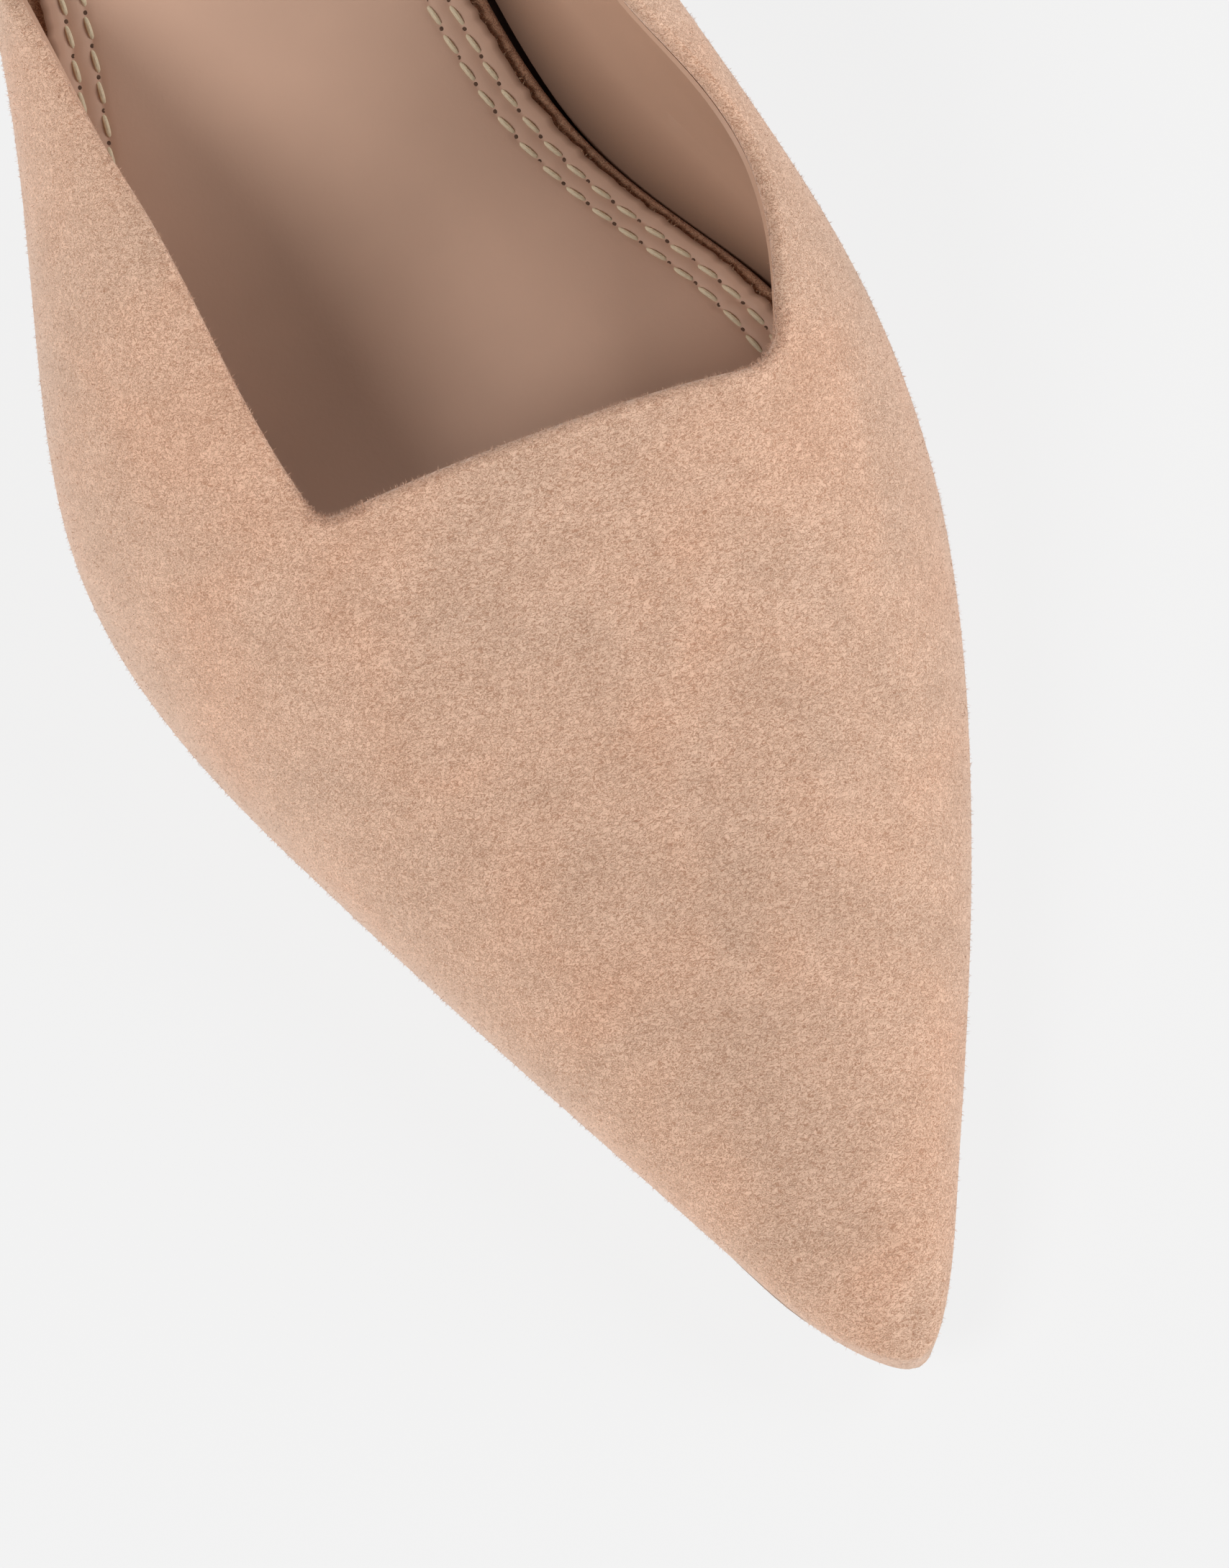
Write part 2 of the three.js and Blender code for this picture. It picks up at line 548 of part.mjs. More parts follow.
function heelCore() {
  const sides = HEEL_LEVELS.map((level) => heelRing(level, 0));
  const seat = heelLoop(1, 0);
  const centre = (HEEL_BREAST + HEEL_TOP_BACK) / 2;
  const caps = [0.75, 0.5, 0.25].map((size) => seat.map(([x, y]) => {
    const station = lerp(centre, y, size);
    return new THREE.Vector3(HEEL_MIDDLE + x * size, station, heelTop(station));
  }));
  return solidOfRings([...sides, ...caps]);
}

function heelCover() {
  const grids = [CLEARANCE + HEEL_COVER, CLEARANCE].map((grow) =>
    HEEL_LEVELS.map((level) => heelRing(level, grow)));
  return solidBetween(...grids);
}

function heelTip() {
  const ring = (z, grow) => heelLoop(0, grow).map(([x, y]) => new THREE.Vector3(HEEL_MIDDLE + x, y, z));
  const outside = CLEARANCE + HEEL_COVER;
  return solidOfRings([ring(0, outside - 0.3), ring(0.6, outside), ring(TIP_HEIGHT, outside)]);
}

const TUBE_STATION = (TIP_FRONT + TIP_BACK) / 2;
const onHeelAxis = (profile) => new THREE.LatheGeometry(profile.map(([r, z]) => new THREE.Vector2(r, z)), 16)
  .rotateX(Math.PI / 2)
  .translate(HEEL_MIDDLE, TUBE_STATION, 0);
const rod = (radius, low, high) => onHeelAxis([[0, low], [radius, low], [radius, high], [0, high]]);

// ---- Nails, screw and rivets ----
function fastener({ shaft, head, length }, grow = 0) {
  const seat = grow > 0 ? LAYER_GAP / 2 : LAYER_GAP;
  const profile = [
    [0, -length - grow], [shaft + grow, -length - grow], [shaft + grow, seat],
    [head + grow, seat], [head + grow, LAYER_GAP + HEAD_HEIGHT + grow], [0, LAYER_GAP + HEAD_HEIGHT + grow],
  ];
  return new THREE.LatheGeometry(profile.map(([r, z]) => new THREE.Vector2(r, z)), 12);
}

// Where a fastener sits on the insole board, square to its surface
function fastenerPlace(x, station) {
  const slope = (boardTop(station + 1) - boardTop(station - 1)) / 2;
  const turn = new THREE.Quaternion().setFromUnitVectors(
    new THREE.Vector3(0, 1, 0), new THREE.Vector3(0, -slope, 1).normalize());
  const place = new THREE.Vector3(x, station, boardTop(station));
  return new THREE.Matrix4().compose(place, turn, new THREE.Vector3(1, 1, 1));
}

const nails = NAIL_PLACES.map(([off, station], k) => ({
  name: `heel_nail_${k + 1}`, form: NAIL, place: fastenerPlace(HEEL_MIDDLE + off, station),
}));
const screw = { name: "heel_screw", form: SCREW, place: fastenerPlace(HEEL_MIDDLE, SCREW_STATION) };
const rivets = Object.entries(RIVET_STATIONS).map(([end, station]) => ({
  name: `shank_rivet_${end}`, form: RIVET, place: fastenerPlace(middleX(station, BOARD_INSET), station),
}));
const holesFor = (list) => list.map(({ form, place }) => fastener(form, CLEARANCE).applyMatrix4(place));

// ---- Materials ----
const finish = (color, roughness, metalness = 0) => new THREE.MeshStandardMaterial({ color, roughness, metalness });
const MATERIALS = {
  suede: finish("#cba88e", 0.95),
  lining: finish("#b89a84", 0.6),
  sock: finish("#b08f79", 0.55),
  thread: finish("#d3c3a6", 0.8),
  tape: finish("#e4ddd0", 0.9),
  board: finish("#9a7b58", 0.9),
  foam: finish("#d9cdb8", 0.95),
  steel: finish("#a9abad", 0.35, 1),
  sole: finish("#2b2622", 0.6),
  filler: finish("#8a6a4a", 0.95),
  abs: finish("#e8e2d6", 0.5),
  rubber: finish("#3a302a", 0.7),
};

// ---- Assembly ----
const shoe = new THREE.Group();
function add(name, material, geometry, place) {
  const mesh = new THREE.Mesh(geometry, MATERIALS[material]);
  mesh.name = name;
  if (place) mesh.applyMatrix4(place);
  shoe.add(mesh);
}

// The middle layer of each upper is the topline tape in its last band of rows, and a stiffener below
const BELOW_TAPE = [0, -2];
const TAPE_ROWS = [-2];

function addVamp() {
  const middle = layer(vamp, MIDDLE_DEPTH, STIFFENER, BELOW_TAPE);
  add("vamp_outer", "suede", layer(vamp, 0, SUEDE));
  add("toe_puff", "tape", between(middle, -1, TOE_PUFF_LENGTH));
  add("vamp_backer", "tape", between(middle, TOE_PUFF_LENGTH + 2 * CLEARANCE, LENGTH));
  add("topline_tape", "tape", layer(vamp, MIDDLE_DEPTH, STIFFENER, TAPE_ROWS));
  add("vamp_lining", "lining", layer(vamp, LINING_DEPTH, LINING));
}

function addCup() {
  add("counter_outer", "suede", layer(cup, 0, SUEDE));
  add("counter_stiffener", "abs", layer(cup, MIDDLE_DEPTH, STIFFENER, BELOW_TAPE));
  add("counter_tape", "tape", layer(cup, MIDDLE_DEPTH, STIFFENER, TAPE_ROWS));
  add("counter_lining", "lining", layer(cup, LINING_DEPTH, LINING));
}

function addInsole() {
  const fasteners = holesFor([...nails, screw, ...rivets]);
  const board = sheet({
    stations: toHeel(8, BOARD_INSET), inset: BOARD_INSET, parts: 4, top: boardTop, bottom: boardBottom,
  });
  const foam = sheet({
    stations: toHeel(24, FOAM_INSET),
    inset: FOAM_INSET,
    parts: 3,
    top: (station) => level(station, BOARD_TOP + LAYER_GAP + FOAM),
    bottom: (station) => level(station, BOARD_TOP + LAYER_GAP),
  });
  add("insole_board", "board", cutBy(board, fasteners));
  add("sock_foam", "foam", cutBy(foam, fasteners));
  add("sock_lining", "sock", sheet({
    stations: toHeel(14, SOCK_INSET),
    inset: SOCK_INSET,
    parts: 4,
    top: (station) => level(station, SOCK_TOP),
    bottom: (station) => level(station, SOCK_BOTTOM),
  }));
  add("stitch_row_outer", "thread", threadRow(STITCH_LINES[0]));
  add("stitch_row_inner", "thread", threadRow(STITCH_LINES[1]));
  add("insole_wrap_lateral", "suede", wrapStrip(-1));
  add("insole_wrap_medial", "suede", wrapStrip(1));
  add("shank", "steel", cutBy(shankBar(), holesFor([screw, ...rivets])));
}

function addBottom() {
  const outsole = sheet({
    stations: toHeel(SOLE_INSET + 0.25, SOLE_INSET), inset: SOLE_INSET, parts: 4, top: soleTop, bottom: soleBottom,
  });
  add("outsole", "sole", cutBy(outsole, holesFor([...nails, screw])));
  add("bottom_filler", "filler", sheet({
    stations: stationsOf(FILLER_INSET + 0.25, FILLER_END),
    inset: FILLER_INSET,
    parts: 3,
    top: (station) => level(station, UPPER),
    bottom: feather,
  }));
}

function addHeel() {
  const bore = rod(TUBE_RADIUS + CLEARANCE, 0, TUBE_TOP + CLEARANCE);
  const socket = rod(PIN_RADIUS + CLEARANCE, PIN_FOOT - CLEARANCE, TIP_HEIGHT + 1);
  const [inside, low] = [TUBE_RADIUS - TUBE_WALL, HEEL_FOOT + CLEARANCE];
  add("heel_core", "abs", cutBy(heelCore(), [bore, ...holesFor([...nails, screw])]));
  add("heel_cover", "suede", heelCover());
  add("heel_tube", "steel",
    onHeelAxis([[inside, low], [TUBE_RADIUS, low], [TUBE_RADIUS, TUBE_TOP], [inside, TUBE_TOP], [inside, low]]));
  add("heel_tip", "rubber", cutBy(heelTip(), [socket]));
  add("heel_tip_pin", "steel", rod(PIN_RADIUS, PIN_FOOT, PIN_TOP));
  for (const { name, form, place } of [...nails, screw, ...rivets]) add(name, "steel", fastener(form), place);
}

addVamp();
addCup();
addInsole();
addBottom();
addHeel();

// The part's origin is the middle of its footprint, on the floor
const box = new THREE.Box3().setFromObject(shoe);
const middle = box.getCenter(new THREE.Vector3());
shoe.position.set(-middle.x, -middle.y, 0);

const group = new THREE.Group();
group.name = "high_heel_pump";
group.add(shoe);

export default group;
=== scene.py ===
"""High heel pump, right shoe: microfibre suede upper over a fine-grained lining, a stitched sock with a raw
edge, a suede-covered stiletto heel and a thin sole, on a pale studio floor.

The upper, the sock and the heel all follow the curves of a last, which no primitive gives, so their surfaces
are laid out as grids of points on the last and closed into shells of the leather's own thickness."""

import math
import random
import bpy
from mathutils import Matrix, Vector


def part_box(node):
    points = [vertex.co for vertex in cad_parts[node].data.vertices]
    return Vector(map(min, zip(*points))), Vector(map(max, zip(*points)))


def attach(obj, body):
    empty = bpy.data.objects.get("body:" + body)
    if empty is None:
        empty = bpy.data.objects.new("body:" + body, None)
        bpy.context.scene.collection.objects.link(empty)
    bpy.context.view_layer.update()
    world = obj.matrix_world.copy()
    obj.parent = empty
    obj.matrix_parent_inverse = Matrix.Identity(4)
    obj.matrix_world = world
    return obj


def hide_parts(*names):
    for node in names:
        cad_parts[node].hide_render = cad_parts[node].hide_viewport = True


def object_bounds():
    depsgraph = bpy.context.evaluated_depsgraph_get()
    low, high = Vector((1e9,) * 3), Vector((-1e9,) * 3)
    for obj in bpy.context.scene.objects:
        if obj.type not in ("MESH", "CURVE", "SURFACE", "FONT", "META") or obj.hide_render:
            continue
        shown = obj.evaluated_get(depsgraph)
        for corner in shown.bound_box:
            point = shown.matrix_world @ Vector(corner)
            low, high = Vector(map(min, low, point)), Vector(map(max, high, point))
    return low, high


bl_info = {
    "name": "High Heel Pump",
    "version": (1, 0, 0),
    "blender": (4, 5, 0),
    "location": "3D View > Sidebar > Pump",
    "description": "Builds the visible surface of a pointed high heel pump",
    "category": "Add Mesh",
}

import bpy
import numpy as np
from mathutils import Matrix, Vector

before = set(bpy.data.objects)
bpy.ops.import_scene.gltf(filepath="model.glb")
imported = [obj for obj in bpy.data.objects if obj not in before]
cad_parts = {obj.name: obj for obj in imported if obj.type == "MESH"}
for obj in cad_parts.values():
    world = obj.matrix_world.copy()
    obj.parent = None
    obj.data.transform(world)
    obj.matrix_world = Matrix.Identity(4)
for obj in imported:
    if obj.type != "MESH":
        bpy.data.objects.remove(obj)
CAD_BOX = [tuple(corner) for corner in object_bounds()]

# ---- Shape of the last, in millimetres and degrees; stations run from the toe tip to the heel ----
LENGTH = 238.0
BALL_WIDTH = 82.4
HEEL_RISE = 87.2
HEEL_CENTRE = 205.0
HEEL_MIDDLE = -6.0
UNDERCUT = 1.5  # how far the upper tucks in under its widest line
TREAD_LINE = 3.3  # height of the feather line, where the upper meets the sole, at the ball
HEEL_ROUNDNESS = 2.2
UPPER = 2.3  # from the suede's face to the lining's face
SHEET = 0.5  # thickness of the suede and of the lining, as drawn
BOARD_BOTTOM = 2.8
BOARD_TOP = 4.2
SOCK_BOTTOM = 5.7
BOARD_INSET = 5.4
WRAP = 0.6  # thickness of the strip round the insole's edge
GLUE = 0.25
SOCK_INSET = BOARD_INSET - WRAP - GLUE + 1.8
SOLE_INSET = 2.6
WING_END = 174.0  # where the vamp's wings run out at the waist
CUP_FRONT = 190.0
CUP_HEIGHT = 57.0
OUTER, INNER = -1, 1  # sides of the foot
THROAT = {OUTER: (93.6, 30.8), INNER: (91.2, 31.6)}  # station and angle of each throat corner

toe_y = CAD_BOX[0][1] * 1000
tip_low, tip_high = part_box("heel_tip")
shift_x = (tip_low.x + tip_high.x) * 500 - HEEL_MIDDLE


def spline(*knots):
    """Natural cubic spline through (x, y) knots, straight beyond its ends."""
    x, y = np.array(knots, float).T
    gap = np.diff(x)
    rise = np.diff(y) / gap
    count = len(x)
    system, load = np.eye(count), np.zeros(count)
    for i in range(1, count - 1):
        system[i, i - 1 : i + 2] = gap[i - 1], 2 * (gap[i - 1] + gap[i]), gap[i]
        load[i] = 6 * (rise[i] - rise[i - 1])
    bend = np.linalg.solve(system, load)
    start = rise[0] - gap[0] * bend[1] / 6
    end = rise[-1] + gap[-1] * bend[-2] / 6

    def value(at):
        at = np.asarray(at, float)
        i = np.clip(np.searchsorted(x, at) - 1, 0, count - 2)
        after, before, width = at - x[i], x[i + 1] - at, gap[i]
        inside = (
            (bend[i] * before**3 + bend[i + 1] * after**3) / (6 * width)
            + (y[i] / width - bend[i] * width / 6) * before
            + (y[i + 1] / width - bend[i + 1] * width / 6) * after
        )
        low = y[0] + start * (at - x[0])
        high = y[-1] + end * (at - x[-1])
        return np.where(at < x[0], low, np.where(at > x[-1], high, inside))

    return value


def rooted(*shares):
    """Half width at a station's square root, from shares of the ball's width: it opens steeply at the toe."""
    return spline(*[(station**0.5, share * BALL_WIDTH) for station, share in shares])


half_width = {
    OUTER: rooted(
        (0, 0), (2, 0.046), (8, 0.104), (18, 0.159), (32, 0.231), (50, 0.322), (70, 0.419),
        (90, 0.504), (110, 0.535), (130, 0.473), (150, 0.398), (172, 0.371), (190, 0.379), (205, 0.388),
    ),
    INNER: rooted(
        (0, 0), (2, 0.037), (8, 0.087), (18, 0.153), (32, 0.243), (50, 0.348), (70, 0.443), (90, 0.496),
        (110, 0.479), (130, 0.4), (150, 0.316), (172, 0.255), (190, 0.238), (205, 0.243),
    ),
}
wall_height = {
    OUTER: spline((0, 3.4), (12, 4.6), (30, 6.4), (60, 8), (100, 9), (130, 11), (180, 12)),
    INNER: spline(
        (0, 3.4), (12, 4.6), (30, 6.4), (60, 8), (90, 9), (110, 13), (125, 18), (145, 21), (180, 16),
    ),
}
waist_curve = {
    OUTER: spline((95, 0), (130, -0.5), (155, -1.2), (180, -0.5), (205, 0)),
    INNER: spline(
        (95, 0), (104, 0.5), (111, 1.9), (118, 4.6), (124.5, 7), (131, 8.2), (140, 7.9), (150, 6.4),
        (165, 3.8), (180, 1.7), (195, 0.4), (205, 0),
    ),
}
feather = spline(
    (0, 7.5), (20, 5.6), (45, 4), (62, 3.3), (75, 3.2), (88, 3.4),
    *[(station, TREAD_LINE + share * HEEL_RISE) for station, share in (
        (100, 0.025), (115, 0.08), (135, 0.214), (155, 0.398), (175, 0.595), (195, 0.771), (215, 0.903),
        (238, 1),
    )],
)
instep = spline(
    (0, 4.9), (12, 11.2), (30, 18), (50, 24.7), (70, 31.8), (90, 40), (110, 43.6), (135, 40), (165, 29.4),
)
wing_angle = {
    OUTER: spline(
        (93.6, 30.8), (104, 31.6), (117, 33.8), (127, 38.8), (137, 48.2), (149, 63.3), (159, 84), (167, 109),
        (174, 130),
    ),
    INNER: spline(
        (91.2, 31.6), (98, 37.8), (103, 43.2), (110, 50.6), (116, 55.2), (121, 54.2), (128, 47), (142, 55),
        (155, 80), (166, 115), (174, 140),
    ),
}
column_base = spline(
    (0, 0), (0.12, 5.5), (0.25, 22), (0.38, 48), (0.5, 80), (0.62, 100), (0.78, 124), (0.9, 150),
    (1, WING_END),
)
cup_height = spline((190, 0.09), (198, 0.28), (208, 0.56), (220, 0.82), (231, 0.965), (238, 1))
cup_bulge = spline((0, -UNDERCUT), (9, 0), (18, 0.3), (40, -1.2), (57, -3.4))


def smoothstep(at, low, high):
    """0 up to low, 1 from high, and smooth between them."""
    t = np.clip((np.asarray(at, float) - low) / (high - low), 0, 1)
    return t * t * (3 - 2 * t)


def level(station, depth):
    """Height of a point at a depth above the feather line, square to its slope."""
    slope = feather(np.asarray(station) + 0.5) - feather(np.asarray(station) - 0.5)
    return feather(station) + depth * np.hypot(1, slope)


def outline_x(station, side):
    """The last's widest line on one side, rounded off behind the heel's centre."""
    station = np.asarray(station, float)
    width = side * half_width[side](np.sqrt(np.clip(station, 0, HEEL_CENTRE)))
    along = np.clip((station - HEEL_CENTRE) / (LENGTH - HEEL_CENTRE), 0, 1)
    rounding = (1 - along**HEEL_ROUNDNESS) ** (1 / HEEL_ROUNDNESS)
    return np.where(along > 0, HEEL_MIDDLE + (width - HEEL_MIDDLE) * rounding, width)


def waist_cut(station, side):
    """How far the bottom is drawn in at the waist."""
    inside = (station > 95) & (station < 205)
    return np.where(inside, waist_curve[side](station), 0)


def edge_x(station, side, inset):
    """The outline moved inwards, cut in at the waist."""
    station = np.asarray(station, float)
    shift = inset * (1 - smoothstep(station, 30, 110) - smoothstep(station, 190, 215))
    from_toe = np.clip((station - inset) / 50, 0, 1)
    from_back = np.clip((LENGTH - inset - station) / 15, 0, 1)
    drawn = inset * np.minimum(from_toe, from_back) + waist_cut(station, side)
    return outline_x(station - shift, side) - side * drawn


def ridge_x(station):
    """The vamp's ridge, a little to the inner side of the middle."""
    outer, inner = outline_x(station, OUTER), outline_x(station, INNER)
    return (outer + inner) / 2 + 0.06 * (inner - outer) * np.clip(station / 60, 0, 1)


def fullness(station):
    """Power of the vamp's cross section: flatter sides towards the throat."""
    return 0.94 - 0.15 * np.clip(station / 100, 0, 1)


def vamp_point(station, angle, side):
    """Point of the vamp's outside at an angle from the ridge: 90 on the widest line, 180 at the feather."""
    station, angle = np.broadcast_arrays(np.asarray(station, float), np.asarray(angle, float))
    edge, wall = outline_x(station, side), wall_height[side](station)
    up = np.cos(np.radians(angle))
    base = feather(station) + wall
    tuck = UNDERCUT * np.minimum(1, np.abs(edge) / 12) + waist_cut(station, side)
    out = np.abs(np.sin(np.radians(angle))) ** fullness(station)
    ridge = ridge_x(station)
    rise, least = instep(station) - wall, 1.3 + 0.1 * station
    rise = (rise + least + np.sqrt((rise - least) ** 2 + 0.5)) / 2
    crown = rise * np.sqrt(np.clip(1 - np.exp(-station / 4), 0, 1))
    x = np.where(up < 0, edge - side * tuck * np.abs(up) ** 1.5, ridge + (edge - ridge) * out)
    z = base + np.where(up < 0, wall, crown) * up
    return np.stack([x, station, z], -1)


def vamp_angle(x, station, side):
    """Angle from the ridge of the vamp's point at x, above the widest line."""
    ridge = ridge_x(station)
    reach = outline_x(station, side) - ridge
    share = np.clip((x - ridge) / np.where(np.abs(reach) < 1e-6, side, reach), 0, 1)
    return np.degrees(np.arcsin(share ** (1 / fullness(station))))


# ---- Toplines; a share runs along one from the throat's middle, 0, to the wing's end, 1 ----
CORNER_SHARE = 0.48
WALL_PART = 0.45  # part of each column of points that lies below the widest line
CORNER_ROUNDING = {OUTER: (0.045, 0.016), INNER: (0.095, 0.035)}  # shares before and after a corner
ROLL = 0.85  # radius of the suede turned over the topline
TURNED_IN = 4  # depth of the turned suede inside

throat_corner = {side: vamp_point(*THROAT[side], side) for side in THROAT}
throat_middle = (throat_corner[OUTER] + throat_corner[INNER]) / 2


def sharp_topline(side, share):
    """Station and angle of the topline before its corner is rounded."""
    if share < CORNER_SHARE:
        x, station, _ = throat_middle + (throat_corner[side] - throat_middle) * share / CORNER_SHARE
        own = OUTER if x < ridge_x(station) else INNER
        angle = float(vamp_angle(x, station, own))
        return np.array([station, angle * own * side])
    start = THROAT[side][0]
    station = start + (WING_END - start) * (share - CORNER_SHARE) / (1 - CORNER_SHARE)
    return np.array([station, float(wing_angle[side](station))])


def topline(side, share):
    """Station and angle of the topline, with the throat's corner rounded."""
    before, after = CORNER_ROUNDING[side]
    low, high = CORNER_SHARE - before, CORNER_SHARE + after
    if not low < share < high:
        return sharp_topline(side, share)
    t = (share - low) / (high - low)
    before, corner, after = (sharp_topline(side, at) for at in (low, CORNER_SHARE, high))
    return (1 - t) ** 2 * before + 2 * t * (1 - t) * corner + t * t * after


def signed_point(station, angle, side):
    """A vamp point whose angle may cross the ridge to the other side."""
    station, angle = np.broadcast_arrays(np.asarray(station, float), np.asarray(angle, float))
    own = vamp_point(station, np.abs(angle), side)
    other = vamp_point(station, np.abs(angle), -side)
    return np.where((angle < 0)[..., None], other, own)


def vamp_column(side, share, wall_rows, crown_rows):
    """Points up the vamp from the feather line to the topline, straight in plan ahead of the throat."""
    base = float(column_base(share))
    top, top_angle = topline(side, share)
    start, end = vamp_point(base, 90, side), signed_point(top, top_angle, side)
    straight = 1 - float(smoothstep(share, CORNER_SHARE, 0.8))
    stop = 1 - ROLL / max(np.linalg.norm(end - start), 3)
    easing = 1 - np.cos(math.pi / 2 * np.linspace(0, 1, crown_rows + 1)[1:])
    crown = WALL_PART + (1 - WALL_PART) * stop * easing
    parts = np.concatenate([WALL_PART * np.linspace(0, 1, wall_rows + 1) ** 1.2, crown])
    w = np.clip((parts - WALL_PART) / (1 - WALL_PART), 0, 1)
    station = base + (top - base) * w
    x = start[0] + (end[0] - start[0]) * w
    across = ridge_x(station)
    own = np.where((x - across) * side >= 0, 1, -1)
    angle = np.where(own > 0, vamp_angle(x, station, side), -vamp_angle(x, station, -side))
    below = parts < WALL_PART
    angle = np.where(below, 180 - 90 * parts / WALL_PART, angle)
    station = np.where(below, base, station)
    even_station, even_angle = base + (top - base) * parts, 180 + (top_angle - 180) * parts
    return signed_point(
        even_station + (station - even_station) * straight, even_angle + (angle - even_angle) * straight, side
    )


def margin_points(crease):
    """Lasting margin under the insole, from its inner edge to the feather line."""
    middle = (edge_x(crease[1], OUTER, UNDERCUT) + edge_x(crease[1], INNER, UNDERCUT)) / 2
    way = np.array([middle - crease[0], 14 * (1 - float(smoothstep(crease[1], 10, 60)))])
    length = np.linalg.norm(way)
    way *= min(10, 0.55 * length) * 0.6 / length
    points = [(crease[0] + way[0] * part, crease[1] + way[1] * part) for part in (1, 0.5)]
    return np.array([[x, station, float(feather(station))] for x, station in points])


def vamp_grid(half_columns=200, wall_rows=14, crown_rows=56):
    """Columns of points round the vamp, from wing end to wing end, closer together at the corners."""
    before, after = CORNER_ROUNDING[INNER]
    low, high = CORNER_SHARE - before, CORNER_SHARE + after
    shares = np.concatenate([
        np.linspace(0, low, half_columns // 4, endpoint=False),
        np.linspace(low, high, half_columns // 4, endpoint=False),
        np.linspace(high, 1, half_columns // 2),
    ])
    columns = [(OUTER, share) for share in shares[::-1]] + [(INNER, share) for share in shares[1:]]
    grid = []
    for side, share in columns:
        wall = vamp_column(side, share, wall_rows, crown_rows)
        grid.append(np.concatenate([margin_points(wall[0]), wall]))
    return np.array(grid)


def cup_foot(turn):
    """Point round the heel's outline, from the outer front, -1, over the back, 0, to the inner front, 1."""
    station = LENGTH - (LENGTH - CUP_FRONT) * abs(turn) ** 1.6
    return np.array([float(outline_x(station, OUTER if turn < 0 else INNER)), station])


def cup_grid(columns=181, rows=44):
    """Columns of points round the heel cup, from its outer front over the back to its inner front."""
    grid = []
    for turn in np.linspace(-1, 1, columns):
        here = cup_foot(turn)
        along = cup_foot(min(turn + 0.01, 1)) - cup_foot(max(turn - 0.01, -1))
        out = np.array([along[1], -along[0]]) / np.linalg.norm(along)
        if (out @ (here - np.array([HEEL_MIDDLE, 200.0]))) < 0:
            out = -out
        height = CUP_HEIGHT * float(cup_height(here[1]))
        rises = np.linspace(0, 1, rows) ** 1.15 * (height - ROLL)
        offsets = cup_bulge(rises)
        across, station = here[0] + out[0] * offsets, here[1] + out[1] * offsets
        wall = np.stack([across, station, feather(here[1]) + rises], -1)
        margin = []
        for reach in (UNDERCUT + 6, UNDERCUT + 3):
            x, station = here - out * reach
            margin.append([x, station, float(feather(station))])
        grid.append(np.concatenate([margin, wall]))
    return np.array(grid)


# ---- Grids to shells ----
MARGIN_ROWS = 2
CREASE_REACH = 12  # height over which the layers ease in from the crease at the feather line
SMOOTH_ANGLE = math.radians(40)


def unit(vectors):
    return vectors / np.maximum(np.linalg.norm(vectors, axis=-1, keepdims=True), 1e-9)


def inward_ways(grid, core):
    """How each point moves for a layer of unit depth: square to the surface, and up from the crease."""
    facets = unit(np.cross(grid[1:, :-1] - grid[:-1, 1:], grid[1:, 1:] - grid[:-1, :-1]))
    middle = (facets.shape[0] // 2, facets.shape[1] // 2)
    if facets[middle] @ (core - grid[middle]) < 0:
        facets = -facets
    padded = np.pad(facets, ((1, 1), (1, 1), (0, 0)), mode="edge")
    around = np.stack([padded[:-1, :-1], padded[1:, :-1], padded[:-1, 1:], padded[1:, 1:]])
    mean = unit(around.sum(0))
    mitre = 1 / np.clip((around * mean).sum(-1).min(0), 0.6, 1)
    up = mean[:, :1]
    height = ((grid - grid[:, MARGIN_ROWS : MARGIN_ROWS + 1]) * up).sum(-1)
    reach = np.minimum(CREASE_REACH, np.maximum(height[:, -1:], 1))
    rise = np.clip(1 - height / reach, 0, 1)
    rise[:, : MARGIN_ROWS + 1] = 0
    return mean * mitre[..., None] + up * rise[..., None], mean


def rolled(grid, inward, normal, radius, start=0.0):
    """The surface at a depth, with its top edge turned over and down inside at a radius."""
    top, way = grid[:, -1], unit(grid[:, -1] - grid[:, -2])
    inside = normal[:, -1]
    rows = [grid + inward * start]
    for turn in np.linspace(0, math.pi, 9)[1:]:
        over, back = radius * math.sin(turn), ROLL - radius * math.cos(turn)
        rows.append((top + way * over + inside * back)[:, None])
    for down in (1.5, TURNED_IN):
        rows.append((top - way * down + inside * (ROLL + radius))[:, None])
    return np.concatenate(rows, axis=1)


def to_frame(points):
    """The last's millimetres as the frame's metres."""
    return (np.asarray(points, float) + (shift_x, toe_y, 0)) / 1000


def new_piece(name, points, faces, material, *nodes, slot):
    """Adds a piece from its points and faces; nodes are the CAD nodes that it replaces."""
    mesh = bpy.data.meshes.new(name)
    mesh.from_pydata(to_frame(points).tolist(), [], faces)
    mesh.update()
    piece = bpy.data.objects.new(name, mesh)
    bpy.context.scene.collection.objects.link(piece)
    return finish_piece(piece, material, *nodes, slot=slot)


def finish_piece(piece, material, *nodes, slot):
    """Turns the faces outwards, gives the piece its material and body, and hides the nodes that it replaces;
    the slot is not used.
    """
    select_only(piece)
    bpy.ops.object.mode_set(mode="EDIT")
    bpy.ops.mesh.select_all(action="SELECT")
    bpy.ops.mesh.normals_make_consistent(inside=False)
    bpy.ops.object.mode_set(mode="OBJECT")
    bpy.ops.object.shade_smooth_by_angle(angle=SMOOTH_ANGLE)
    piece.data.materials.clear()
    piece.data.materials.append(material)
    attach(piece, "root")
    if nodes:
        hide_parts(*nodes)
    return piece


def select_only(piece):
    bpy.ops.object.select_all(action="DESELECT")
    piece.select_set(True)
    bpy.context.view_layer.objects.active = piece


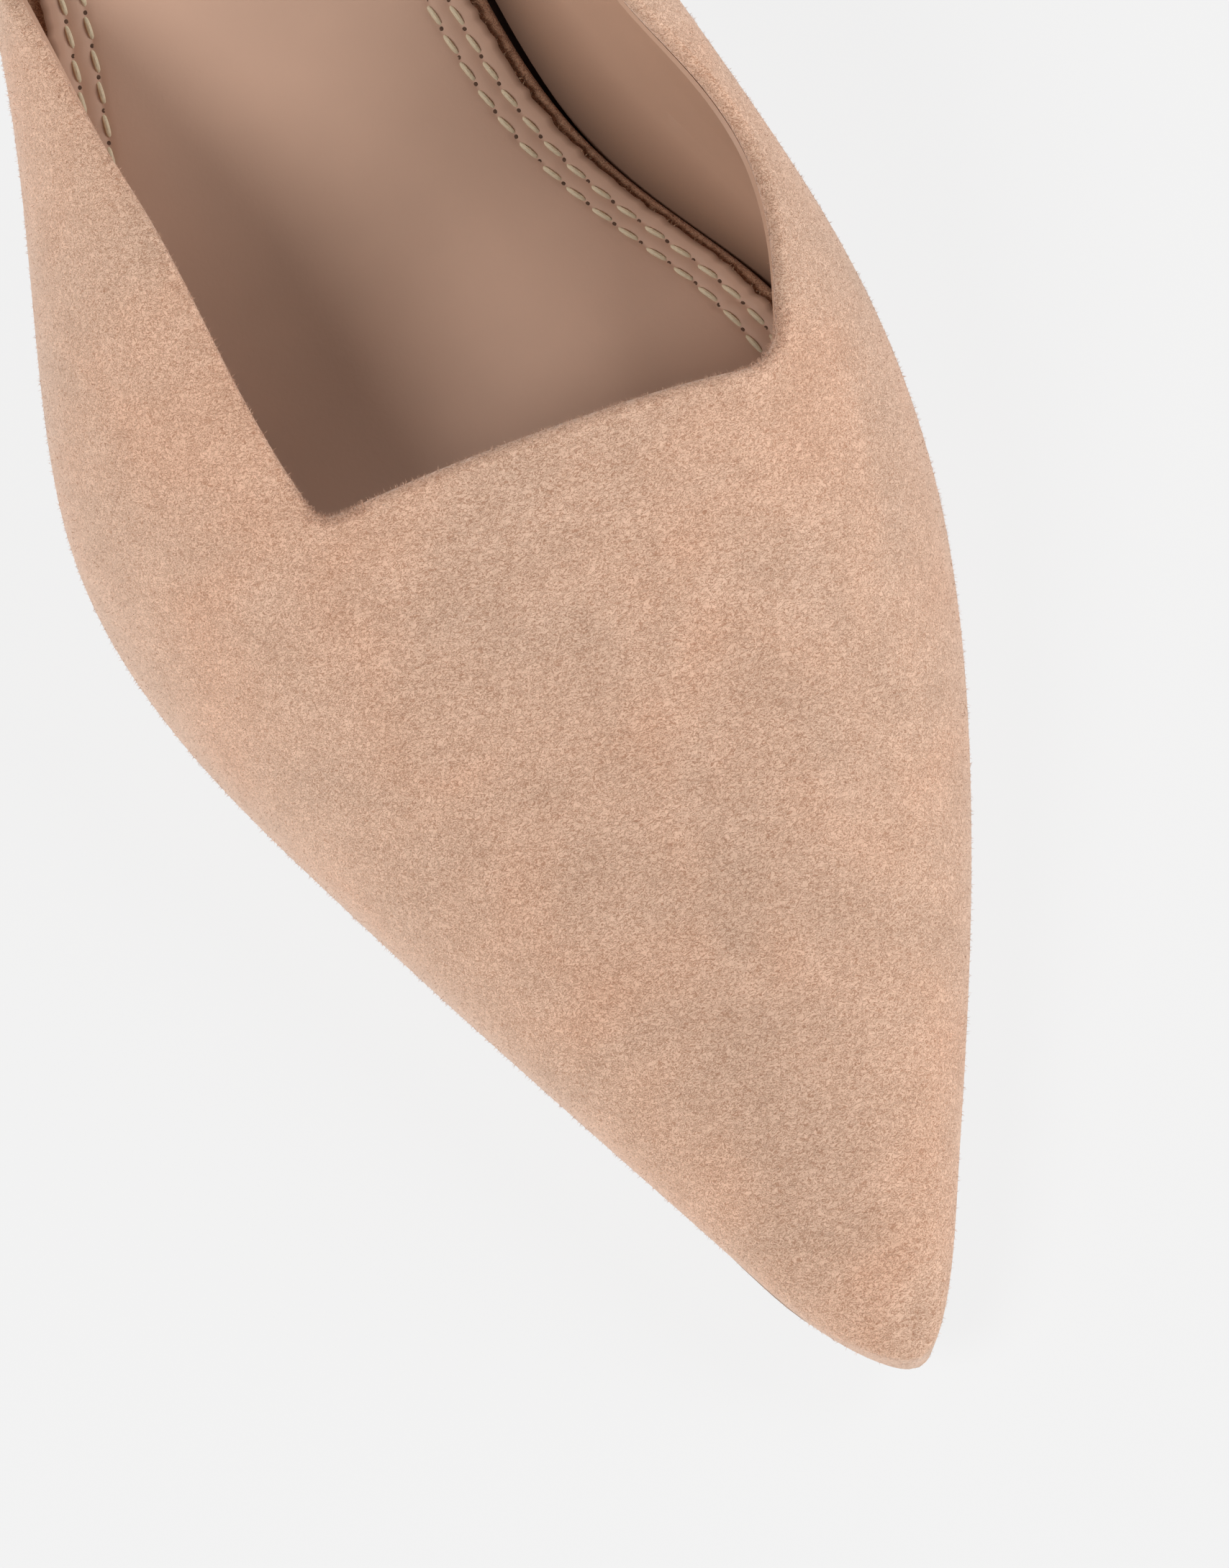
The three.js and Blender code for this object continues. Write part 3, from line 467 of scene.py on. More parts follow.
def grid_faces(rows, columns, offset=0, flip=False):
    """Four-sided faces of a grid of points, numbered from offset."""
    index = offset + np.arange(rows * columns).reshape(rows, columns)
    corners = [index[:-1, :-1], index[:-1, 1:], index[1:, 1:], index[1:, :-1]]
    if flip:
        corners = corners[::-1]
    return np.stack(corners, -1).reshape(-1, 4).tolist()


def shell_parts(front, back):
    """Points and faces of the closed solid between two grids of the same size."""
    rows, columns = front.shape[:2]
    count = rows * columns
    faces = grid_faces(rows, columns) + grid_faces(rows, columns, count, flip=True)
    index = np.arange(count).reshape(rows, columns)
    border = np.concatenate([index[0, :-1], index[:-1, -1], index[-1, :0:-1], index[:0:-1, 0]])
    following = np.roll(border, -1)
    faces += [[b, a, a + count, b + count] for a, b in zip(border.tolist(), following.tolist())]
    return np.concatenate([front.reshape(-1, 3), back.reshape(-1, 3)]), faces


def add_shell(name, front, back, material, *nodes, slot):
    """Adds the closed solid between two grids as a piece."""
    points, faces = shell_parts(front, back)
    return new_piece(name, points, faces, material, *nodes, slot=slot)


def join_parts(parts):
    """Many small bodies as the points and faces of one mesh."""
    points, faces, count = [], [], 0
    for some_points, some_faces in parts:
        points.append(some_points)
        faces += [[index + count for index in face] for face in some_faces]
        count += len(some_points)
    return np.concatenate(points), faces


# ---- Colours and nodes ----
def linear(code):
    """Linear colour of an sRGB hex value."""
    channels = [int(code[i : i + 2], 16) / 255 for i in (1, 3, 5)]
    return tuple(c / 12.92 if c <= 0.04045 else ((c + 0.055) / 1.055) ** 2.4 for c in channels)


def add_node(material, kind, links=(), **settings):
    """Adds a node; settings are its properties or inputs, and links give an input another node's output."""
    node = material.node_tree.nodes.new(kind)
    for name, value in settings.items():
        if hasattr(node, name):
            setattr(node, name, value)
        else:
            node.inputs[name.replace("_", " ")].default_value = value
    for name, output in dict(links).items():
        material.node_tree.links.new(output, node.inputs[name])
    return node


def new_material(name, **settings):
    """A material with one shader and the Object coordinates that its patterns read."""
    material = bpy.data.materials.new(name)
    material.use_nodes = True
    material.node_tree.nodes.clear()
    shader = add_node(material, "ShaderNodeBsdfPrincipled")
    for key, value in settings.items():
        shader.inputs[key.replace("_", " ")].default_value = value
    output = add_node(material, "ShaderNodeOutputMaterial")
    material.node_tree.links.new(shader.outputs["BSDF"], output.inputs["Surface"])
    place = add_node(material, "ShaderNodeTexCoord").outputs["Object"]
    return material, shader, place


def ramp(material, factor, *stops):
    """A colour ramp from (position, colour) stops."""
    node = add_node(material, "ShaderNodeValToRGB", {"Fac": factor})
    elements = node.color_ramp.elements
    while len(elements) < len(stops):
        elements.new(0.5)
    for element, (position, colour) in zip(elements, stops):
        element.position = position
        element.color = (*colour, 1)
    return node.outputs["Color"]


def tinted(colour, *factors):
    """The colour times one factor, or times one for each channel."""
    if len(factors) == 1:
        factors *= 3
    return tuple(min(1, channel * factor) for channel, factor in zip(colour, factors))


def join_to(material, output, shader, socket):
    """Links a node's output to one of the shader's inputs."""
    material.node_tree.links.new(output, shader.inputs[socket])


def per_metre(millimetres):
    """Texture scale that gives features about this many millimetres across."""
    return 1000 / millimetres


def multiplied(material, first, second):
    """Product of two colours; a Mix node takes its factor at input 0 and its colours at 6 and 7."""
    mix = add_node(material, "ShaderNodeMix", data_type="RGBA", blend_type="MULTIPLY")
    mix.inputs[0].default_value = 1
    for socket, output in ((6, first), (7, second)):
        material.node_tree.links.new(output, mix.inputs[socket])
    return mix.outputs[2]


OPEN = (1, 1, 1)  # factor of a pattern where it leaves the colour alone


def suede_material(name, colour, grain):
    """Microfibre suede, brushed: a dense nap of curled fibres in faint rows, with thin creases between them
    darkened by painted shade, lighter where it is seen at a low angle, and soft patches where the nap lies
    differently. The real fibres are some 0.01 mm thick, too fine to show, so the curls are drawn as tufts as
    wide as the grain."""
    material, shader, place = new_material(
        name, Roughness=0.95, IOR=1.4, Specular_IOR_Level=0.1, Sheen_Weight=0.7, Sheen_Roughness=0.42,
        Sheen_Tint=(1.0, 0.86, 0.76, 1))
    rows = add_node(
        material, "ShaderNodeMapping", {"Vector": place}, Rotation=(0, 0, math.radians(24)),
        Scale=(0.62, 1, 1))
    patches = add_node(
        material, "ShaderNodeTexNoise", {"Vector": place}, Scale=per_metre(17), Detail=2.0, Roughness=0.55,
        Distortion=0.5)
    clouds = add_node(material, "ShaderNodeTexNoise", {"Vector": place}, Scale=per_metre(5), Detail=1.0)
    curls = add_node(
        material, "ShaderNodeTexNoise", {"Vector": rows.outputs["Vector"]}, Scale=per_metre(grain),
        Detail=0.8, Roughness=0.6, Distortion=1.3)
    fibres = add_node(
        material, "ShaderNodeTexNoise", {"Vector": place}, Scale=per_metre(grain / 2.2), Detail=1.0,
        Distortion=2.0)
    crease = (0, 0, 0)
    relief = ramp(material, curls.outputs["Fac"], (0.38, OPEN), (0.47, crease), (0.5, crease), (0.6, OPEN))
    base = ramp(
        material, patches.outputs["Fac"], (0.3, tinted(colour, 0.93, 0.95, 0.96)), (0.5, colour),
        (0.68, tinted(colour, 1.01, 0.965, 0.94)))
    soft = ramp(material, clouds.outputs["Fac"], (0.3, (0.93, 0.92, 0.91)), (0.7, OPEN))
    # Painted shade: the creases of the nap are darkened in the base colour, on top of the bump that the same
    # relief drives.
    dark = ramp(material, relief, (0.0, (0.62, 0.52, 0.46)), (0.4, (0.94, 0.92, 0.9)), (1.0, OPEN))
    light = ramp(material, fibres.outputs["Fac"], (0.32, (0.7, 0.66, 0.63)), (0.62, OPEN))
    tone = multiplied(material, multiplied(material, base, soft), multiplied(material, dark, light))
    join_to(material, tone, shader, "Base Color")
    bump = add_node(material, "ShaderNodeBump", {"Height": relief}, Strength=0.55, Distance=0.00009)
    join_to(material, bump.outputs["Normal"], shader, "Normal")
    return material


def leather_material(name, colour, roughness, grain, strength):
    """Coated lining leather, calendered: nearly smooth, with a soft sheen, fine pores and faint cloudiness,
    and darker brown where its "shade" attribute falls: painted shade low on the lining by the sock, and the
    sock's brown raw edge."""
    material, shader, place = new_material(name, Roughness=roughness, IOR=1.45)
    clouds = add_node(material, "ShaderNodeTexNoise", {"Vector": place}, Scale=per_metre(18), Detail=3.0)
    pores = add_node(
        material, "ShaderNodeTexNoise", {"Vector": place}, Scale=per_metre(grain), Detail=3.0, Roughness=0.6)
    base = ramp(material, clouds.outputs["Fac"], (0.3, tinted(colour, 0.95)), (0.7, tinted(colour, 1.04)))
    shade = add_node(material, "ShaderNodeAttribute", attribute_name="shade")
    # Painted shade: where the shade attribute is low the lining is darkened for the shade low in the shoe; on
    # the sock the same ramp gives the raw edge its brown.
    painted_shade_and_raw_edge = ramp(
        material, shade.outputs["Fac"], (0.0, (0.16, 0.12, 0.1)), (0.45, (0.6, 0.56, 0.53)), (1.0, OPEN))
    join_to(material, multiplied(material, base, painted_shade_and_raw_edge), shader, "Base Color")
    bump = add_node(
        material, "ShaderNodeBump", {"Height": pores.outputs["Fac"]}, Strength=strength, Distance=0.0002)
    join_to(material, bump.outputs["Normal"], shader, "Normal")
    return material


def set_shade(piece, values):
    """Stores the shade of each point, 1 for none and 0 for the darkest: painted shade on the lining, and the
    sock's brown raw edge.
    """
    attribute = piece.data.attributes.new("shade", "FLOAT", "POINT")
    attribute.data.foreach_set("value", np.clip(values, 0, 1).astype(np.float32))


def plain_material(name, dark, light, patch, **settings):
    """Two close shades in a noise of the material's own grain size, with a bump from the same noise."""
    material, shader, place = new_material(name, **settings)
    noise = add_node(
        material, "ShaderNodeTexNoise", {"Vector": place}, Scale=per_metre(patch), Detail=4.0, Roughness=0.65)
    join_to(material, ramp(material, noise.outputs["Fac"], (0.3, dark), (0.7, light)), shader, "Base Color")
    bump = add_node(
        material, "ShaderNodeBump", {"Height": noise.outputs["Fac"]}, Strength=0.25, Distance=0.0002)
    join_to(material, bump.outputs["Normal"], shader, "Normal")
    return material


# ---- What a user would change ----
class PumpColours(bpy.types.PropertyGroup):
    """Colours of the shoe's materials"""

    suede: bpy.props.FloatVectorProperty(
        name="Suede", description="Colour of the upper and the heel", subtype="COLOR",
        default=linear("#edc7ae"))
    lining: bpy.props.FloatVectorProperty(
        name="Lining", description="Colour of the lining", subtype="COLOR", default=linear("#bf9981"))
    sock: bpy.props.FloatVectorProperty(
        name="Sock", description="Colour of the sock under the foot", subtype="COLOR",
        default=linear("#c6a28c"))
    thread: bpy.props.FloatVectorProperty(
        name="Thread", description="Colour of the sock's thread", subtype="COLOR", default=linear("#dccbac"))
    floor: bpy.props.FloatVectorProperty(
        name="Floor", description="Colour of the studio floor", subtype="COLOR", default=linear("#f2f2f2"))


class PumpSizes(bpy.types.PropertyGroup):
    """Sizes of the shoe's fine detail, in millimetres"""

    grain: bpy.props.FloatProperty(
        name="Suede Grain", description="Spacing of the curled fibres in the suede's nap, mm", default=0.33,
        min=0.1)
    pitch: bpy.props.FloatProperty(
        name="Stitch Pitch", description="Length of one stitch and its hole, mm", default=3.45, min=1)
    thread: bpy.props.FloatProperty(
        name="Thread", description="Diameter of the sock's thread, mm", default=0.5, min=0.2)
    fray: bpy.props.FloatProperty(
        name="Fray", description="How far the sock's raw edge wanders, mm", default=0.12, min=0)


def colours():
    return bpy.context.scene.pump_colours


def sizes():
    return bpy.context.scene.pump_sizes


def upper_suede():
    """The one suede that the vamp, the heel cup and the heel share."""
    name = "suede_brushed_microfibre"
    return bpy.data.materials.get(name) or suede_material(name, tuple(colours().suede), sizes().grain)


def upper_lining():
    """The one lining leather of the vamp and the heel cup: fine pores half a millimetre apart."""
    name = "lining_coated_leather"
    return bpy.data.materials.get(name) or leather_material(
        name, tuple(colours().lining), roughness=0.55, grain=0.5, strength=0.12)


def add_lining(name, grid, inward, node):
    """Adds the lining inside a grid of the upper, darker towards the sock by painted shade."""
    inside, outside = grid + inward * UPPER, grid + inward * (UPPER - SHEET)
    piece = add_shell(name, inside, outside, upper_lining(), node, slot="lining")
    height = inside[..., 2] - level(inside[..., 1], BOARD_TOP)
    # Painted shade: the lining darkens from 6 mm above the insole board's top down to 1 mm below it.
    set_shade(piece, np.tile((height.ravel() + 1) / 7, 2))


# ---- Loose fibres ----
THIRD_TURNS = (0, 2.094, 4.189)
SURFACE_FIBRE, RIM_FIBRE, FRAY_FIBRE = 0.032, 0.034, 0.07  # radius at the root
FRAYS_PER_SIDE = 1500


def fibre(root, way, length, radius):
    """One fibre of the nap: a three-sided cone, its root just under the surface."""
    side = unit(np.cross(way, (0.31, 0.52, 0.79)))
    other = np.cross(way, side)
    foot = root - way * 0.06
    ring = [foot + (side * math.cos(turn) + other * math.sin(turn)) * radius for turn in THIRD_TURNS]
    return np.array([*ring, root + way * length]), [[0, 2, 1], [0, 1, 3], [1, 2, 3], [2, 0, 3]]


def surface_nap(grid, normal, count, seed):
    """Loose fibres over a surface, leaning every way."""
    chance = np.random.default_rng(seed)
    cells = np.linalg.norm(
        np.cross(grid[1:, MARGIN_ROWS:-1] - grid[:-1, MARGIN_ROWS:-1],
                 grid[:-1, MARGIN_ROWS + 1 :] - grid[:-1, MARGIN_ROWS:-1]), axis=-1)
    picked = chance.choice(cells.size, count, p=cells.ravel() / cells.sum())
    columns, rows = np.unravel_index(picked, cells.shape)
    rows = rows + MARGIN_ROWS
    across, up = chance.random((2, count, 1))
    low, high = (
        grid[columns, row] * (1 - across) + grid[columns + 1, row] * across for row in (rows, rows + 1))
    roots = low * (1 - up) + high * up
    ways = unit(-normal[columns, rows] + chance.normal(0, 0.75, (count, 3)))
    outward = (ways * -normal[columns, rows]).sum(-1, keepdims=True)
    ways = unit(ways - normal[columns, rows] * np.maximum(0, 0.25 - outward))
    lengths = chance.uniform(0.18, 0.5, count)
    return [fibre(root, way, length, SURFACE_FIBRE) for root, way, length in zip(roots, ways, lengths)]


def rim_nap(grid, normal, count, seed):
    """Fibres that stand up from the turned topline."""
    chance = np.random.default_rng(seed)
    columns = chance.integers(1, grid.shape[0] - 1, count)
    turns = chance.uniform(-0.2, 2.2, count)[:, None]
    slide = chance.uniform(-0.5, 0.5, count)[:, None]
    top, before, after = grid[columns, -1], grid[columns - 1, -1], grid[columns + 1, -1]
    way, inside = unit(top - grid[columns, -2]), normal[columns, -1]
    outward = way * np.sin(turns) - inside * np.cos(turns)
    roots = top + (after - before) * slide + inside * ROLL + outward * ROLL
    ways = unit(outward + chance.normal(0, 0.55, (count, 3)))
    lengths = chance.uniform(0.2, 0.62, count)
    return [fibre(root, way, length, RIM_FIBRE) for root, way, length in zip(roots, ways, lengths)]


def edge_fray(seed):
    """Loose fibres and crumbs along the sock's raw edge."""
    chance = np.random.default_rng(seed)
    parts = []
    for side in (OUTER, INNER):
        stations = chance.uniform(SOCK_START + 4, LENGTH - SOCK_INSET - 3, FRAYS_PER_SIDE)
        edges = edge_x(stations, side, SOCK_INSET)
        heights = level(stations, SOCK_BOTTOM + chance.uniform(-0.45, 0.2, len(stations)))
        for station, edge, height in zip(stations, edges, heights):
            out, along, up = side * chance.uniform(0.3, 1), chance.normal(0, 0.7), chance.normal(0.1, 0.5)
            root, way = np.array([edge, station, height]), unit(np.array([out, along, up]))
            parts.append(fibre(root, way, chance.uniform(0.15, 0.5), FRAY_FIBRE))
    return parts


# ---- Upper ----
BACKING = (1.05, 1.22)  # depths of the cloth's two faces under the suede's
STIFFENER = (1.27, 1.5)
BACKING_TRIM, STIFFENER_TRIM = 14, 30  # rows of points left off below the topline


class PumpOperator:
    """What all of the pump's operators share"""

    bl_options = {"REGISTER", "UNDO"}


class PUMP_OT_vamp(PumpOperator, bpy.types.Operator):
    """Adds the suede vamp with its turned topline and its nap, and the lining and stiffener inside it"""

    bl_idname = "pump.vamp"
    bl_label = "Vamp"

    def execute(self, context):
        grid = vamp_grid()
        inward, normal = inward_ways(grid, np.array([0.0, 90.0, 12.0]))
        front = rolled(grid, inward, normal, ROLL)
        back = rolled(grid, inward, normal, ROLL - SHEET, start=SHEET)
        add_shell("vamp", front, back, upper_suede(), "vamp_outer", "topline_tape", slot="suede")
        add_lining("vamp_lining_surface", grid, inward, "vamp_lining")
        # Plain-woven cotton, unbleached: dull and off-white, with threads 0.8 mm apart that only just show.
        cloth = plain_material(
            "cotton_woven_backing", linear("#d9d2c4"), linear("#ece7dc"), 0.8, Roughness=0.95)
        lower = (slice(None), slice(None, -BACKING_TRIM))
        add_shell("vamp_backing", *((grid + inward * depth)[lower] for depth in BACKING), cloth,
                  "vamp_backer", slot="tape")
        third = len(grid) // 3
        toe = (slice(third, -third), slice(None, -STIFFENER_TRIM))
        add_shell("toe_stiffener", *((grid + inward * depth)[toe] for depth in STIFFENER), cloth,
                  "toe_puff", slot="tape")
        nap = surface_nap(grid, normal, count=15000, seed=11) + rim_nap(grid, normal, count=4200, seed=12)
        new_piece("vamp_nap", *join_parts(nap), upper_suede(), slot="suede")
        return {"FINISHED"}


class PUMP_OT_heel_cup(PumpOperator, bpy.types.Operator):
    """Adds the suede heel cup with its turned topline and its nap, and the lining inside it"""

    bl_idname = "pump.heel_cup"
    bl_label = "Heel Cup"

    def execute(self, context):
        grid = cup_grid()
        inward, normal = inward_ways(grid, np.array([HEEL_MIDDLE, HEEL_CENTRE, 100.0]))
        front = rolled(grid, inward, normal, ROLL)
        back = rolled(grid, inward, normal, ROLL - SHEET, start=SHEET)
        add_shell("heel_cup", front, back, upper_suede(), "counter_outer", "counter_tape", slot="suede")
        add_lining("heel_cup_lining", grid, inward, "counter_lining")
        nap = surface_nap(grid, normal, count=5000, seed=13) + rim_nap(grid, normal, count=1400, seed=14)
        new_piece("heel_cup_nap", *join_parts(nap), upper_suede(), slot="suede")
        return {"FINISHED"}


# ---- Sock ----
SOCK_THICKNESS = 0.7
SOCK_START = 14.0
STITCH_LINES = (2.1, 4.2)  # distances of the two rows from the sock's edge
STITCH_SHARE = 0.74  # part of the pitch that shows as thread
STITCH_START = 19
FROM_EDGE = np.array(  # columns of points from the sock's edge, closest together at the stitch lines
    [0, 0.15, 0.4, 0.8, 1.2, 1.6, 1.9, 2.1, 2.3, 2.6, 3.15, 3.7, 4.0, 4.2, 4.4, 4.7, 5.2, 6.2, 8, 11])
ROUND_SIDES = 8  # sides of a thread and of a needle hole


def end_rounded(low, high, step):
    """Stations at a step, closer together towards both ends."""
    ends = np.array([0, 0.1, 0.3, 0.6, 1.0, 1.6, 2.4, 3.4])
    inner = np.arange(low + 4.2, high - 4.2, step)
    return np.concatenate([low + ends, inner, (high - ends)[::-1]])


def sock_rise(from_edge):
    """Height of the sock over its own lowest level: it climbs from the wrapped edge onto the foam."""
    climbing = -0.45 * (1 - smoothstep(from_edge, 0.5, 8))
    grooves = sum(np.exp(-(((from_edge - line) / 0.42) ** 2)) for line in STITCH_LINES)
    edge = np.exp(-from_edge / 0.25)
    return climbing - 0.2 * grooves - 0.18 * edge


def sock_parts():
    """Grids of the sock's top and bottom, and the shade of each point: brown at the raw edge."""
    stations = end_rounded(SOCK_START, LENGTH - SOCK_INSET - GLUE, 0.7)
    wander = np.random.default_rng(7)
    top, shades = [], []
    for station in stations:
        rough = wander.normal(0, sizes().fray, 2)
        outer, inner = (
            float(edge_x(station, side, SOCK_INSET)) + away for side, away in zip((OUTER, INNER), rough))
        width = inner - outer
        offsets = FROM_EDGE * min(1, 0.42 * width / FROM_EDGE[-1])
        middle = np.linspace(offsets[-1], width - offsets[-1], 9)[1:-1]
        across = np.concatenate([offsets, middle, width - offsets[::-1]])
        from_edge = np.minimum(across, width - across)
        ends = min(station - SOCK_START, LENGTH - SOCK_INSET - station)
        from_edge = np.minimum(from_edge, max(ends, 0) + 0.5)
        x = outer + across
        z = level(station, SOCK_BOTTOM + SOCK_THICKNESS) + sock_rise(from_edge)
        shades.append(0.35 + 0.65 * smoothstep(from_edge, 0.1, 1.0))
        top.append(np.stack([x, np.full_like(x, station), z], -1))
    top = np.array(top)
    bottom = top.copy()
    bottom[..., 2] -= SOCK_THICKNESS * 1.1
    return top, bottom, np.concatenate([np.ravel(shades), np.full(bottom[..., 0].size, 0.3)])


def thread_path(distance):
    """Points of a thread line on the sock: up one side, round the heel and down the other."""
    inset = SOCK_INSET + distance
    stations = end_rounded(STITCH_START, LENGTH - inset - 0.05, 0.8)
    up, down = (np.stack([edge_x(stations, side, inset), stations], -1) for side in (OUTER, INNER))
    flat = np.concatenate([up, down[::-1]])
    height = level(flat[:, 1], SOCK_BOTTOM + SOCK_THICKNESS) + sock_rise(np.float64(distance))
    return np.column_stack([flat, height])


def stitch(spine, across, up, arch, diameter):
    """One stitch: a short round cord, thinner and sunk into the sock at both ends."""
    turns = np.linspace(0, 2 * math.pi, ROUND_SIDES, endpoint=False)
    points, faces = [], []
    for ring, rise in enumerate(arch):
        size = diameter / 2 * (0.55 + 0.45 * rise)
        centre = spine[ring] + up * (0.62 * rise - 0.32) * diameter
        points += [centre + (across * math.cos(turn) * 1.12 + up * math.sin(turn)) * size for turn in turns]
    last = len(arch) - 1
    for ring in range(last):
        faces += ring_faces(ring, ring + 1)
    faces += [list(range(ROUND_SIDES))[::-1], [last * ROUND_SIDES + side for side in range(ROUND_SIDES)]]
    return np.array(points), faces


def ring_faces(low, high):
    """Faces between two rings of points, given by their numbers."""
    sides = range(ROUND_SIDES)
    start, end = low * ROUND_SIDES, high * ROUND_SIDES
    return [
        [start + side, start + (side + 1) % ROUND_SIDES, end + (side + 1) % ROUND_SIDES, end + side]
        for side in sides
    ]


def stitch_row(distance, pitch, diameter):
    """One row of stitches, each a little slanted, and a needle hole, dark with painted shadow, between one
    and the next.
    """
    path = thread_path(distance)
    run = np.concatenate([[0], np.cumsum(np.linalg.norm(np.diff(path, axis=0), axis=1))])
    rings = 9
    arch = np.sin(np.linspace(0, math.pi, rings)) ** 0.5
    wander = random.Random(int(distance * 10))
    threads, holes = [], []

    def on_path(at):
        return np.stack([np.interp(at, run, path[:, axis]) for axis in range(3)], -1)

    for k in range(int(run[-1] / pitch) - 1):
        start = (k + 0.5) * pitch + wander.uniform(-0.12, 0.12)
        end = start + pitch * STITCH_SHARE
        spine = on_path(np.linspace(start, end, rings))
        along = unit(spine[-1] - spine[0])
        station = spine[0, 1]
        up = unit(np.array([0, -float(feather(station + 0.5) - feather(station - 0.5)), 1.0]))
        across = unit(np.cross(along, up))
        up = np.cross(across, along)
        spine = spine + across * np.linspace(0.14, -0.14, rings)[:, None]
        threads.append(stitch(spine, across, up, arch, diameter))
        holes.append(needle_hole(on_path(end + pitch * 0.1), along, across, up, diameter / 2))
    return threads, holes


def needle_hole(centre, along, across, up, radius):
    """A shallow dish where the needle went through, dark with painted shadow."""
    points, faces = [], []
    for size, height in ((1.0, 0.02), (0.7, 0.05), (0.3, 0.03), (1.0, -0.12)):
        for turn in np.linspace(0, 2 * math.pi, ROUND_SIDES, endpoint=False):
            way = along * math.cos(turn) + across * math.sin(turn)
            points.append(centre + way * radius * size + up * height)
    for low, high in ((3, 0), (0, 1), (1, 2)):
        faces += ring_faces(low, high)
    sides = range(ROUND_SIDES)
    faces += [[2 * ROUND_SIDES + side for side in sides], [3 * ROUND_SIDES + side for side in sides][::-1]]
    return np.array(points), faces


def wrap_grid(side, thick):
    """Face of the suede strip over the insole's edge, its fold rounded, its foot lower at the open waist."""
    stations = end_rounded(98, 191, 0.8)
    edge = edge_x(stations, side, BOARD_INSET)
    behind_wing = smoothstep(stations, WING_END + 0.4, WING_END + 1.6)
    open_waist = behind_wing * (1 - smoothstep(stations, CUP_FRONT - 1.4, CUP_FRONT - 0.2))
    foot = BOARD_BOTTOM * (1 - open_waist)
    radius = GLUE + thick
    turns = np.linspace(0, math.pi / 2, 7)
    section = [(-6, radius), (-3, radius), (-1, radius)]
    section += [(radius * math.sin(turn), radius * math.cos(turn)) for turn in turns]
    rows = []
    for out, rise in section:
        rows.append(np.stack([edge + side * out, stations, level(stations, BOARD_TOP + rise)], -1))
    flare = (BOARD_INSET - SOLE_INSET - radius - 0.2) * open_waist
    for part in (0.25, 0.5, 0.75, 1):
        out, depth = radius + flare * part**1.3, BOARD_TOP + (foot - BOARD_TOP) * part
        rows.append(np.stack([edge + side * out, stations, level(stations, depth)], -1))
    return np.array(rows)


class PUMP_OT_insole(PumpOperator, bpy.types.Operator):
    """Adds the sock with its raw edge and two rows of stitches, and the strips round the insole's edge"""

    bl_idname = "pump.insole"
    bl_label = "Insole"

    def execute(self, context):
        sock = leather_material(
            "sock_coated_leather", tuple(colours().sock), roughness=0.5, grain=0.7, strength=0.1)
        top, bottom, shade = sock_parts()
        piece = add_shell("sock", top, bottom, sock, "sock_lining", slot="sock")
        set_shade(piece, shade)
        # Cut leather fibre, undyed inside: a dull brown crumbly line round the sock.
        raw = plain_material("sock_raw_edge_fibre", linear("#6d4a35"), linear("#b99a7e"), 0.7, Roughness=0.95)
        new_piece("sock_edge_fray", *join_parts(edge_fray(seed=15)), raw, slot="sock")
        # Bonded polyester thread: pale, a little smoother than cotton, with a mottle from its 0.3 mm plies.
        thread = plain_material(
            "thread_bonded_polyester", tinted(colours().thread, 0.82), tuple(colours().thread), 0.3,
            Roughness=0.7)
        # Painted shadow in the needle hole, where the leather is pierced and pushed down: a dull brown dot.
        hole = plain_material("needle_hole_painted_shadow", linear("#4a3529"), linear("#6a4f3e"), 0.4, Roughness=0.95)
        for name, line in zip(("outer", "inner"), STITCH_LINES):
            threads, holes = stitch_row(line, sizes().pitch, sizes().thread)
            new_piece(f"stitches_{name}", *join_parts(threads), thread, f"stitch_row_{name}", slot="thread")
            new_piece(f"needle_holes_{name}", *join_parts(holes), hole, slot="sock")
        # Painted shade: the strip is the upper's suede made darker and browner, for the shade it lies in
        # beside the sock.
        strip = suede_material("suede_strip_painted_shade", linear("#b58d73"), sizes().grain)
        for side, name in ((OUTER, "lateral"), (INNER, "medial")):
            add_shell(
                f"insole_strip_{name}", wrap_grid(side, WRAP), wrap_grid(side, 0.05), strip,
                f"insole_wrap_{name}", slot="suede")
        return {"FINISHED"}


# ---- Sole and heel ----
SOLE_GAP = 0.3  # glue line under the upper
SOLE_THICK, SOLE_THIN = 3, 2.2  # under the forepart, and under the waist and the heel seat


def sole_depth(station):
    """Depth of the sole's underside from the feather line."""
    return -SOLE_GAP - (SOLE_THICK + (SOLE_THIN - SOLE_THICK) * smoothstep(station, 100, 125))


def sole_grid(stations, height):
    """Rows of points across the sole, closer together at its edges."""
    rows = []
    for station in stations:
        outer, inner = (float(edge_x(station, side, SOLE_INSET)) for side in (OUTER, INNER))
        x = outer + (inner - outer) * (1 - np.cos(np.linspace(0, math.pi, 25))) / 2
        rows.append(np.stack([x, np.full_like(x, station), np.full_like(x, height(station))], -1))
    return np.array(rows)


def bevelled(piece, width):
    """Eases the piece's sharp edges by a width."""
    select_only(piece)
    bevel = piece.modifiers.new("Bevel", "BEVEL")
    bevel.width, bevel.segments = width / 1000, 3
    bevel.limit_method, bevel.angle_limit = "ANGLE", SMOOTH_ANGLE
    bpy.ops.object.modifier_apply(modifier=bevel.name)
    bpy.ops.object.shade_smooth_by_angle(angle=SMOOTH_ANGLE)


